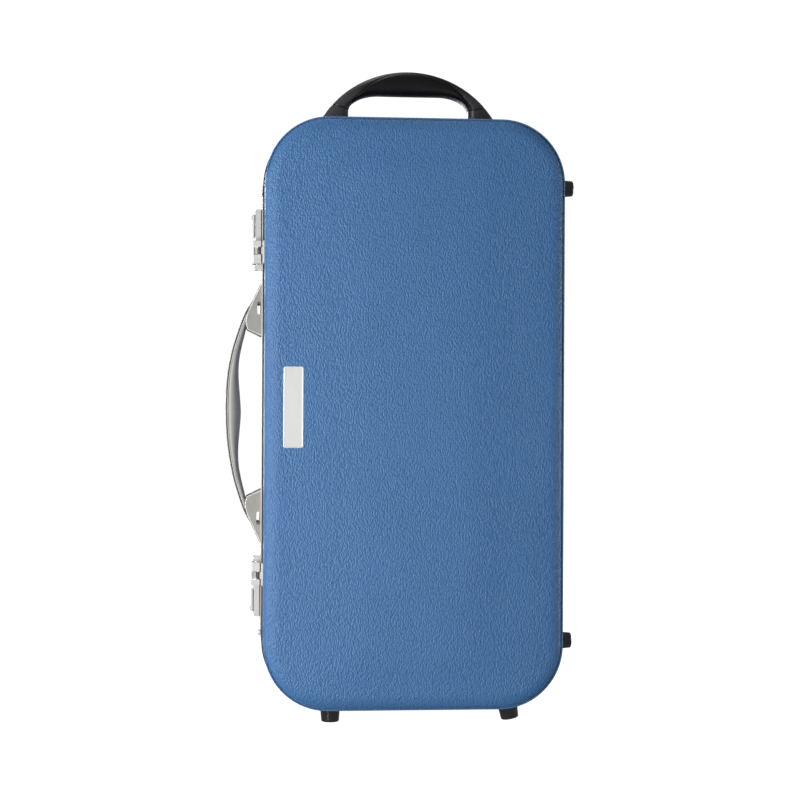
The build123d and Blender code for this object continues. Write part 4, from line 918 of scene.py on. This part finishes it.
class CASE_OT_label_plate(CaseOperator, bpy.types.Operator):
    """Bare plate on the lid, with a bevelled edge and a raised border"""

    bl_idname = "bassoon_case.label_plate"
    bl_label = "Label plate"

    def build(self, sizes, colours):
        """Rounded rectangles in from the plate's outline, each at its own drop behind the front."""
        width, _, height = PLATE[1] - PLATE[0]
        middle_x, _, middle_z = (PLATE[0] + PLATE[1]) / 2
        front = PLATE[0][1] + 0.3 * MM
        corner, least_corner, around = 2.2 * MM, 0.2 * MM, 48
        profile = MM * np.array(
            [(0, 2.6), (0, 0.55), (0.12, 0.22), (0.55, 0), (0.95, 0), (1.2, 0.1), (2.2, 0.1)]
        )
        inset, drop = profile[:, :1], profile[:, 1:]
        turns = np.linspace(0, 2 * math.pi, around + 1)[:-1]
        radius = np.maximum(corner - inset, least_corner)
        x = np.sign(np.cos(turns)) * (width / 2 - inset - radius) + radius * np.cos(turns)
        z = np.sign(np.sin(turns)) * (height / 2 - inset - radius) + radius * np.sin(turns)
        rings = np.stack([middle_x + x, front + drop + 0 * x, middle_z + z], -1)
        piece = make_piece(
            "label_plate_bare", rings, closed_tube(rings), "lid", ["label_plate"]
        )
        sharpen(piece, 25)
        piece.data.materials.append(pale_plate("plate_pale", colours.plate))


def bay_depths(sizes, x, z):
    """How deep the foam is cut at a point, and how near it is to a bay's lip.

    Each bay is its depth times an easing of the distance inside its rounded rectangle, and each
    notch of the distance inside its circle; the deepest counts.
    """

    def eased(distance):
        lip = sizes.bay_lip
        return smooth_step(0.6 * MM, lip - 0.6 * MM, lip - 1.2 * MM - distance)

    deepest, nearest = np.zeros(x.shape), np.full(x.shape, 1.0)
    for middle, width, low, high, depth in BAYS:
        over_x = np.abs(x - middle) - width / 2 + BAY_ROUND
        over_z = np.abs(z - (low + high) / 2) - (high - low) / 2 + BAY_ROUND
        outside = np.hypot(np.maximum(over_x, 0), np.maximum(over_z, 0))
        distance = outside + np.minimum(np.maximum(over_x, over_z), 0) - BAY_ROUND
        floor = 1 - 0.05 * smooth_step(0, 0.02, -distance - 0.004)
        deepest = np.maximum(deepest, depth * eased(distance) * floor)
        nearest = np.minimum(nearest, np.abs(distance))
    for middle_x, middle_z in NOTCHES:
        distance = np.hypot(x - middle_x, z - middle_z) - NOTCH_RADIUS
        deepest = np.maximum(deepest, NOTCH_DEPTH * eased(distance))
        nearest = np.minimum(nearest, np.abs(distance))
    return deepest, nearest


def marked_lines(low, high, marks, pitch):
    """Sorted positions at a pitch, with close lines on both sides of each mark."""
    beside = np.array([-2.4, -1.2, -0.4, 0.4, 1.2, 2.4]) * MM
    lines = [np.linspace(low, high, int((high - low) / pitch) + 1)]
    lines += [mark + beside for mark in marks]
    merged = np.unique(np.round(np.clip(np.concatenate(lines), low, high), 5))
    keep = np.concatenate([[True], np.diff(merged) > 0.35 * MM])
    keep[-1] = True
    return merged[keep]


class CASE_OT_foam_insert(CaseOperator, bpy.types.Operator):
    """Plush-covered foam with a bay for each joint of the instrument"""

    bl_idname = "bassoon_case.foam_insert"
    bl_label = "Foam insert"

    def build(self, sizes, colours):
        """Grid whose outer columns are squeezed into the round corners, cut down by the bays.

        The block's edge and the bays' lips are rounded off, and its sides run straight back.
        """
        half_w, _, half_l = (FOAM[1] - FOAM[0]) / 2
        radius = sizes.corner_radius - (HALF_WIDTH - half_w)
        corner_x, corner_z = half_w - radius, half_l - radius
        unsqueezed = 0.080
        marks_x = [middle + s * width / 2 for middle, width, *_ in BAYS for s in (-1, 1)]
        marks_z = [edge for _, _, low, high, _ in BAYS for edge in (low, high)]
        columns = marked_lines(-half_w, half_w, marks_x, 4 * MM)
        rows = marked_lines(
            -corner_z, corner_z, [mark for mark in marks_z if abs(mark) < corner_z], 4.5 * MM
        )
        ends = corner_z + radius * np.sin(np.radians(np.linspace(0, 90, 19)))[1:]
        rows = np.concatenate([-ends[::-1], rows, ends])
        into_corner = np.maximum(np.abs(rows) - corner_z, 0)
        edge = corner_x + np.sqrt(np.maximum(radius**2 - into_corner**2, 0))
        grid_x, z = np.meshgrid(columns, rows)
        squeeze = (edge[:, None] - unsqueezed) / (half_w - unsqueezed)
        outer = np.abs(grid_x) - unsqueezed
        x = np.where(outer > 0, np.sign(grid_x) * (unsqueezed + outer * squeeze), grid_x)
        cut, lip = bay_depths(sizes, x, z)
        from_edge = np.minimum(edge[:, None] - np.abs(x), half_l - np.abs(z))
        soft = 3.0 * MM * (1 - smooth_step(0, 6 * MM, from_edge)) ** 2
        soft += 0.9 * MM * (1 - smooth_step(0, 7 * MM, lip)) * (cut < 0.001)
        front, back = FOAM[0][1] - Y_PART, FOAM[1][1] - Y_PART
        depth = front + cut + soft + 0.25 * MM * (1 + ripple(x, z, 5))
        piece = sheet_piece(
            "foam_plush",
            np.pad(x, 1, mode="edge"),
            np.pad(z, 1, mode="edge"),
            np.pad(depth, 1, constant_values=back),
            False,
            "back",
            ["foam_insert"],
        )
        piece.data.materials.append(plush("plush_bays", colours.plush))


class CASE_OT_lid_padding(CaseOperator, bpy.types.Operator):
    """Plush pad inside the lid"""

    bl_idname = "bassoon_case.lid_padding"
    bl_label = "Lid padding"

    def build(self, sizes, colours):
        """Rings up from the pad's back, over a quarter circle, then flat but for gentle waves."""
        columns, rows = 81, 151
        rings = (columns + 1) // 2
        start = HALF_WIDTH - (PADDING[1][0] - PADDING[0][0]) / 2
        far, near = PADDING[0][1] - Y_PART, PADDING[1][1] - Y_PART
        round_off = 9 * MM
        turn = np.radians(np.linspace(0, 90, 12))
        insets = start + round_off * (1 - np.cos(turn))
        inner = np.linspace(insets[-1], HALF_WIDTH, 30)[1:]
        insets = np.concatenate([insets[:1], insets, inner])[:rings]
        insets[-1] = HALF_WIDTH
        depths = np.concatenate(
            [[far], near - round_off * (1 - np.sin(turn)), np.full(len(inner), near)]
        )[:rings]
        x, z, inset, level = ring_grid(columns, rows, insets, sizes.corner_radius)
        fade = smooth_step(start, start + 0.03, inset)
        depth = depths[level] - 0.5 * MM * (1 + ripple(x, z, 3)) * fade
        piece = sheet_piece("lid_plush", x, z, depth, True, "lid", ["lid_padding"])
        piece.data.materials.append(bpy.data.materials["plush_bays"])


class CASE_OT_shells(CaseOperator, bpy.types.Operator):
    """Finishes of the shells' lining, the rims and the seal"""

    bl_idname = "bassoon_case.shells"
    bl_label = "Shells and rims"

    def build(self, sizes, colours):
        dress(woven_lining("lining_cloth", colours.lining), "back_shell", "lid_shell")
        dress(satin_metal("rim_aluminium", colours.aluminium, 0.36, 0.5), "back_rim", "lid_rim")
        dress(moulded("seal_rubber", colours.black, 0.62, 0.5, 0.02, 0.35), "parting_seal")


class CASE_OT_strip(CaseOperator, bpy.types.Operator):
    """Finishes of the metal strip on the left wall and its backing, and its rounded end cap"""

    bl_idname = "bassoon_case.strip"
    bl_label = "Strip"

    def build(self, sizes, colours):
        """The cap is a stack of rounded rectangles on the wall, as far out as a superellipse."""
        brushed = satin_metal(
            "strip_brushed", shade(colours.aluminium, 0.95), 0.40, (0.25, 0.25, 24)
        )
        dress(brushed, "lock_strip", edge=0.3 * MM)
        dress(moulded("strip_backing_black", colours.black, 0.6, 0.6, 0.02, 0.35), "strip_backing")
        (_, front, low), (_, back, high) = node_box("strip_end_cap")
        proud, clear, flattening, stations, around = 2.5 * MM, 0.1 * MM, 0.35, 25, 32
        share = np.linspace(0, 1, stations)[:, None]
        hump = (1 - (2 * share - 1) ** 6) ** 0.5
        out = proud * hump * (1 - flattening * share) + 0.05 * MM
        through, across = rounded(np.linspace(0, 2 * math.pi, around + 1)[:-1], 0.5)
        x = LEFT_WALL - clear - out / 2 * (1 - through)
        y = (front + back) / 2 + (back - front) / 2 * across
        z = low + (high - low) * share
        rings = np.stack(np.broadcast_arrays(x, y, z), -1)
        faces = closed_tube(rings)
        piece = make_piece(
            "strip_cap_rounded", rings, faces, "back", ["strip_end_cap"]
        )
        piece.data.materials.append(moulded("strip_cap_black", colours.black, 0.42, 0.5, 0.015))
        sharpen(piece, 50)


class CASE_OT_latches(CaseOperator, bpy.types.Operator):
    """Finishes of the latches, hinges and their fasteners, and the latches' smallest parts"""

    bl_idname = "bassoon_case.latches"
    bl_label = "Latches and hinges"

    def block(self, name, place, span, body, slot, finish):
        """Small block between two distances from the wall, two depths and two heights."""
        (near, far), (front, back) = place
        eased = 0.4 * MM
        x = LEFT_WALL - np.array([near, far, far, near]) * MM
        y = Y_PART + np.array([back, back, front, front]) * MM
        z = np.array([span[0] + eased, span[1] - eased])[:, None]
        rings = np.stack(np.broadcast_arrays(x, y, z), -1)
        piece = make_piece(name, rings, closed_tube(rings), body, [])
        piece.data.materials.append(finish)
        sharpen(piece, 30)

    def build(self, sizes, colours):
        nickel = satin_metal("nickel_satin", colours.nickel, 0.30, (0.3, 0.3, 9))
        # Painted shade: the housing is dark where it meets its base, and the hinge plate on its
        # knuckle, seen through the hasp's window.
        case = latch_case("nickel_housing", colours.nickel, 2.1 * MM, 3.7 * MM, *HOUSING)
        pivot = latch_case("nickel_pivot", colours.nickel, 3.3 * MM, 9 * MM, *HINGE_PLATES)
        # Painted shadow: a dark block under each slider's thumb plate, where the shadow falls.
        dark = moulded("slider_pad_dark", shade(colours.black, 4), 0.6, 0.5, 0.02, 0.3)
        polished = satin_metal("nickel_polished", colours.nickel, 0.50, (0.4, 6, 0.4), 0.006)
        steel = satin_metal("steel_bright", shade(colours.nickel, 0.92), 0.28, 0.2)
        for end, sign in (("upper", 1), ("lower", -1)):
            latch = f"latch_{end}"
            dress(case, f"{latch}_body", edge=0.25 * MM)
            dress(pivot, f"{latch}_hinge_plate", edge=0.25 * MM)
            dress(polished, f"{latch}_hasp", f"{latch}_slider", edge=0.2 * MM)
            dress(steel, f"{latch}_spring")
            (_, _, low), (_, _, high) = node_box(f"{latch}_slider")
            pad = (high - SLIDER_SHADE_BLOCK_LENGTH, high) if sign > 0 else (low, low + SLIDER_SHADE_BLOCK_LENGTH)
            (_, _, low), (_, _, high) = node_box(f"{latch}_hasp")
            middle = (low + high) / 2 + sign * HASP_TAB_OFFSET
            tab = (middle - HASP_TAB_HALF, middle + HASP_TAB_HALF)
            for part, place, span, body, slot, finish in (
                ("slider_pad", SLIDER_SHADE_BLOCK, pad, f"slider_{end}", "black_rubber", dark),
                ("hinge_lip", HINGE_LIP, (low, high), "lid", "latch_metal", nickel),
                ("hasp_tab", HASP_TAB, tab, f"hasp_{end}", "latch_metal", nickel),
            ):
                self.block(f"{latch}_{part}", place, span, body, slot, finish)
        for place in ("upper", "middle", "lower"):
            dress(nickel, f"back_hinge_leaf_{place}", f"lid_hinge_leaf_{place}", edge=0.2 * MM)
        dress(steel, "hasp_pins", "hasp_springs", "hinge_pins")
        dress(
            polished,
            "latch_rivets",
            "hinge_plate_rivets",
            "back_hinge_rivets",
            "lid_hinge_rivets",
            "strip_end_stud",
            "back_foot_screws",
            "lid_foot_screws",
        )


def bow_edges(end, heights):
    """Outer edge of the bow, how far it leans, and the bow's thickness square to it."""
    outer = smoothed(heights, BOW_HEIGHTS, BOW_OUTER[end], 3.5)
    inner = smoothed(heights, BOW_HEIGHTS, BOW_INNER, 3.5)
    lean = np.gradient(outer, heights)
    lean[0] = 0.0
    return outer, lean, (outer - inner) / np.hypot(1, lean)


def bow_rings(end, heights, near, far, widths, squareness, far_squareness=None):
    """Rings of a bar along the bow between two depths under its outer edge, and each point's layer.

    A ring's point is the outer edge less a depth along the edge's normal, and half a width across;
    the depth and the width follow a rounded rectangle. Upwards turns to downwards for the lower
    half. The layer is 0 on the outer side and 1 on the inner one.
    """
    turns = np.linspace(0, 2 * math.pi, 41)[:-1]
    through, across = rounded(turns, squareness, far_squareness)
    outer, lean, _ = bow_edges(end, heights)
    middle, half = (near + far) / 2, (far - near) / 2
    depth = middle[:, None] - half[:, None] * through
    run = np.hypot(1, lean)[:, None]
    out = outer[:, None] - depth / run
    up = heights[:, None] + depth * lean[:, None] / run
    sign = 1 if end == "upper" else -1
    x = LEFT_WALL - out * MM
    y = GRIP_Y - 0.5 * MM * widths[:, None] * across * sign
    layer = np.broadcast_to((1 - through) / 2, x.shape)
    return np.stack([x, y, Z_MID + sign * up * MM], -1), layer


class CASE_OT_side_handle(CaseOperator, bpy.types.Operator):
    """Springy bow of the side handle in two halves, its feet, and the finishes of its brackets"""

    bl_idname = "bassoon_case.side_handle"
    bl_label = "Side handle"

    def build(self, sizes, colours):
        bracket = bracket_plate("bracket_satin", colours.bracket)
        dress(bracket, "side_handle_bracket_upper", "side_handle_bracket_lower", edge=0.2 * MM)
        rivets = satin_metal("rivet_steel", shade(colours.nickel, 0.3), 0.25, 0.3)
        dress(
            rivets, "side_handle_bracket_rivets", "side_handle_pin_upper", "side_handle_pin_lower"
        )
        grip = bow_moulding("grip_plastic", colours.grip)
        strap = laminated_strap("strap_layers", colours.strap)
        for end, sign in (("upper", 1), ("lower", -1)):
            link = f"link_{end}"
            nodes = ["side_handle_grip", "side_handle_knuckle_pins", f"side_handle_{link}"]
            for part, (rings, layer), slot, nodes, finish, degrees in (
                ("grip", self.grip_rings(end), "grip_plastic", nodes, grip, 60),
                ("strap", self.strap_rings(end), "strap_plastic", ["side_handle_strap"], strap, 40),
            ):
                name = f"side_handle_{part}_{end}"
                piece = make_piece(name, rings, closed_tube(rings), None, nodes)
                piece.data.materials.append(finish)
                store(piece, "layer", layer)
                sharpen(piece, degrees)
                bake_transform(piece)
            rings = self.foot_rings(sign)
            name = f"side_handle_foot_{end}"
            foot = make_piece(name, rings, closed_tube(rings), link, [])
            foot.data.materials.append(grip)
            sharpen(foot, 40)

    def grip_rings(self, end):
        """The moulded body: under the strap, narrower and at last much thinner towards its end."""
        heights = np.linspace(0, BOW_TOP, 90)
        thickness = bow_edges(end, heights)[2]
        widths = BOW_WIDTH - BOW_NARROWING * smooth_step(56, 80, heights)
        closing = 1 - 0.9 * smooth_step(BOW_TOP - 5, BOW_TOP, heights)
        near = np.full(len(heights), STRAP_THICKNESS + STRAP_GAP)
        far = near + (thickness - near) * closing
        return bow_rings(end, heights, near, far, widths, 0.35, 1.0)

    def strap_rings(self, end):
        """The strap: a band of even thickness and width on the outer edge."""
        heights = np.linspace(0, STRAP_TOP, 100)
        level = np.zeros(len(heights))
        return bow_rings(end, heights, level, level + STRAP_THICKNESS, level + STRAP_WIDTH, 0.35)

    def foot_rings(self, sign):
        """The link's foot: rounded rectangles from the pin's outer side into the bow."""
        pin_out = (LEFT_WALL - (HANDLE_PIN[0][0] + HANDLE_PIN[1][0]) / 2) / MM
        pin_up = ((HANDLE_PIN[0][2] + HANDLE_PIN[1][2]) / 2 - Z_MID) / MM
        reach = np.array([pin_out - 2.3, pin_out - 1.9, pin_out - 1.0, pin_out, *FOOT_INSIDE])
        half = np.array([0.9, 1.5, 2.1, 2.3, 2.3, 2.3])[:, None]
        wide, high = rounded(np.linspace(0, 2 * math.pi, 33)[:-1], 0.4)
        x = LEFT_WALL - reach[:, None] * MM
        y = GRIP_Y + FOOT_HALF_WIDTH * MM * wide
        z = Z_MID + sign * pin_up * MM + half * MM * high
        return np.stack(np.broadcast_arrays(x, y, z), -1)


class CASE_OT_top_handle(CaseOperator, bpy.types.Operator):
    """Rounded top handle with its let-in pad, and the finishes of its plates and screws"""

    bl_idname = "bassoon_case.top_handle"
    bl_label = "Top handle"

    def build(self, sizes, colours):
        rings = self.rings(361, 96)
        piece = make_piece(
            "top_handle_cover",
            rings,
            closed_tube(rings),
            "back",
            ["top_handle_frame", "top_handle_pad"],
        )
        piece.data.materials.append(handle_cover("handle_black", colours.black))
        plates = moulded("mount_black", colours.black, 0.4, 0.6, 0.02)
        dress(plates, "top_handle_plates", edge=0.3 * MM)
        dress(satin_metal("screw_dark", (0.12, 0.12, 0.125), 0.3, 0.3), "top_handle_screws")

    def rings(self, stations, around):
        """Rings of the handle, from its left foot to its right one.

        A ring joins a point of the outer arc to a point of the opening, both a share of their own
        length along; it is a rounded rectangle between them. The pad swells away from the ring's
        middle, and the grooves sink towards it.
        """
        share = np.linspace(0, 1, stations)
        half_turn = math.acos((HANDLE_FOOT - HANDLE_TOP + HANDLE_RADIUS) / HANDLE_RADIUS)
        angle = math.pi / 2 + half_turn * (1 - 2 * share)
        up = HANDLE_TOP - HANDLE_RADIUS + HANDLE_RADIUS * np.sin(angle)
        outer = np.stack([HANDLE_RADIUS * np.cos(angle), up], -1)
        turn = np.radians(np.linspace(180, 90, 40))
        left = np.stack([np.cos(turn), np.sin(turn)], -1) * OPENING_CORNER
        left += (-OPENING_ACROSS, OPENING_UP)
        foot = (OPENING_ACROSS + OPENING_CORNER[0], HANDLE_FOOT)
        right = (left * (-1, 1))[::-1]
        path = np.concatenate([[(-foot[0], foot[1])], left, right, [foot]])
        travel = np.concatenate([[0], np.cumsum(np.hypot(*np.diff(path, axis=0).T))])
        inner = np.stack([np.interp(share * travel[-1], travel, path[:, k]) for k in (0, 1)], -1)
        middle, half = (outer + inner) / 2, (outer - inner) / 2
        out, side = rounded(np.linspace(0, 2 * math.pi, around + 1)[:-1], 0.74)
        depth = HANDLE_HALF_DEPTH - LEG_THINNER * (1 - smooth_step(8, 40, middle[:, 1]))
        across = half[:, None, :] * out[:, None]
        place = middle[:, None, :] + across
        outside = np.hypot(place[..., 0] - PAD_ACROSS, place[..., 1] - PAD_UP) - PAD_RADIUS
        above = smooth_step(PAD_FROM - 0.5, PAD_FROM + 1.0, place[..., 1])
        pad, groove = smooth_step(0.3, 2.2, -outside), np.exp(-((outside / 0.7) ** 2))
        over = np.abs(place[..., 0])
        from_groove = place[..., 1] - LEG_GROOVE_UP - LEG_GROOVE_SLOPE * (over - LEG_GROOVE_ACROSS)
        leg_groove = np.exp(-((from_groove / 0.6) ** 2)) * smooth_step(73, 75, over)
        swell = 0.050 * pad * above - 0.045 * groove * above - 0.045 * leg_groove
        place = middle[:, None, :] + across * (1 + swell[..., None])
        x = HANDLE_X / MM + place[..., 0]
        y = HANDLE_Y / MM - depth[:, None] * side * (1 + swell)
        z = HANDLE_BASE / MM + place[..., 1]
        return np.stack([x, y, z], -1) * MM


class CASE_OT_feet(CaseOperator, bpy.types.Operator):
    """Finish of the moulded feet"""

    bl_idname = "bassoon_case.feet"
    bl_label = "Feet"

    def build(self, sizes, colours):
        feet = moulded("feet_black", shade(colours.black, 1.6), 0.13, 0.8, 0.003, 1.0)
        dress(feet, "back_feet", "lid_feet")


class CASE_OT_stage(bpy.types.Operator):
    """Pale floor, white surroundings, soft light and the camera"""

    bl_idname = "bassoon_case.stage"
    bl_label = "Stage"

    def execute(self, context):
        scene, stage = context.scene, context.scene.case_stage
        self.surroundings(scene)
        world = bpy.data.worlds.new("studio")
        world.use_nodes = True
        background = world.node_tree.nodes["Background"]
        background.inputs["Color"].default_value = (1, 1, 1, 1)
        background.inputs["Strength"].default_value = stage.fill
        scene.world = world
        for name, place in LIGHTS:
            light = bpy.data.lights.new(name, "AREA")
            light.shape, (light.size, light.size_y) = "RECTANGLE", LIGHT_SIZE
            light.energy = getattr(stage, name)
            lamp = bpy.data.objects.new(name, light)
            lamp.location = place
            aim = Vector(LIGHT_TARGET) - lamp.location
            lamp.rotation_euler = aim.to_track_quat("-Z", "Z").to_euler()
            lamp.visible_camera = False
            scene.collection.objects.link(lamp)
        camera_data = bpy.data.cameras.new("camera")
        camera_data.lens, camera_data.sensor_width = LENS, SENSOR
        camera = bpy.data.objects.new("camera", camera_data)
        sine, cosine = math.sin(CAMERA_AZIMUTH), math.cos(CAMERA_AZIMUTH)
        camera.location = (
            X_MID + sine * stage.distance + CAMERA_ASIDE * cosine,
            -cosine * stage.distance + CAMERA_ASIDE * sine,
            Z_MID + CAMERA_ABOVE,
        )
        camera.rotation_euler = (math.pi / 2, CAMERA_ROLL, CAMERA_AZIMUTH)
        scene.collection.objects.link(camera)
        scene.camera = camera
        scene.view_settings.view_transform = "Standard"
        return {"FINISHED"}

    def surroundings(self, scene):
        """Round floor, and a dome from its zenith to just under the floor's level.

        Both are rings of points at growing distances from the first, which a flat face closes.
        """
        rings, around, below = 24, 64, 0.06
        turns = np.linspace(0, 2 * math.pi, around + 1)[:-1]
        angle, ring = np.meshgrid(turns, np.linspace(0, 1, rings + 1)[1:])
        floor = np.stack([ring * np.cos(angle), ring * np.sin(angle), 0 * ring], -1)
        polar = (math.pi / 2 + below) * (1.04 - ring)
        dome = np.stack(
            [np.sin(polar) * np.cos(angle), np.sin(polar) * np.sin(angle), np.cos(polar)], -1
        )
        index = np.arange(rings * around).reshape(rings, around)
        following = np.roll(index, -1, 1)
        quads = np.stack([index[:-1], index[1:], following[1:], following[:-1]], -1)
        faces = quads.reshape(-1, 4).tolist() + [index[0].tolist()]
        for name, points, material in (
            ("floor", floor, self.glow("floor_pale", 1.0, 0.3)),
            ("surroundings", dome[::-1], self.glow("surroundings_white", 1.05, 0.0)),
        ):
            mesh = bpy.data.meshes.new(name)
            mesh.from_pydata((STAGE_RADIUS * points).reshape(-1, 3).tolist(), [], faces)
            mesh.materials.append(material)
            piece = bpy.data.objects.new(name, mesh)
            scene.collection.objects.link(piece)
            piece.visible_diffuse = False
            piece.visible_glossy = False
            piece.visible_transmission = False
            piece.visible_shadow = False

    def glow(self, name, strength, diffuse):
        """Pale diffuse surface with some light of its own, so that it stays near white."""
        material = bpy.data.materials.new(name)
        material.use_nodes = True
        surface = material.node_tree.nodes["Principled BSDF"]
        surface.inputs["Base Color"].default_value = (diffuse, diffuse, diffuse, 1)
        surface.inputs["Roughness"].default_value = 0.9
        surface.inputs["Specular IOR Level"].default_value = 0.0
        surface.inputs["Emission Color"].default_value = (1, 1, 1, 1)
        surface.inputs["Emission Strength"].default_value = strength
        return material


class CASE_PT_sidebar(bpy.types.Panel):
    """Sizes and colours of the case, and a button for each piece"""

    bl_idname = "CASE_PT_sidebar"
    bl_label = "Bassoon Case"
    bl_space_type = "VIEW_3D"
    bl_region_type = "UI"
    bl_category = "Case"

    def draw(self, context):
        scene, layout = context.scene, self.layout
        for group in (scene.case_sizes, scene.case_colours, scene.case_stage):
            box = layout.box()
            for name in type(group).__annotations__:
                box.prop(group, name)
        for operator in OPERATORS:
            layout.operator(operator.bl_idname)


GROUPS = (CaseSizes, CaseColours, CaseStage)
OPERATORS = (
    CASE_OT_lid_panel,
    CASE_OT_rear_panel,
    CASE_OT_side_bands,
    CASE_OT_label_plate,
    CASE_OT_foam_insert,
    CASE_OT_lid_padding,
    CASE_OT_shells,
    CASE_OT_strip,
    CASE_OT_latches,
    CASE_OT_side_handle,
    CASE_OT_top_handle,
    CASE_OT_feet,
    CASE_OT_stage,
)
CLASSES = (*GROUPS, *OPERATORS, CASE_PT_sidebar)


def register():
    for made in CLASSES:
        bpy.utils.register_class(made)
    bpy.types.Scene.case_sizes = PointerProperty(type=CaseSizes)
    bpy.types.Scene.case_colours = PointerProperty(type=CaseColours)
    bpy.types.Scene.case_stage = PointerProperty(type=CaseStage)


def unregister():
    del bpy.types.Scene.case_stage
    del bpy.types.Scene.case_colours
    del bpy.types.Scene.case_sizes
    for made in reversed(CLASSES):
        bpy.utils.unregister_class(made)


def main():
    register()
    for operator in OPERATORS:
        group, name = operator.bl_idname.split(".")
        getattr(getattr(bpy.ops, group), name)()


if __name__ == "__main__":
    main()
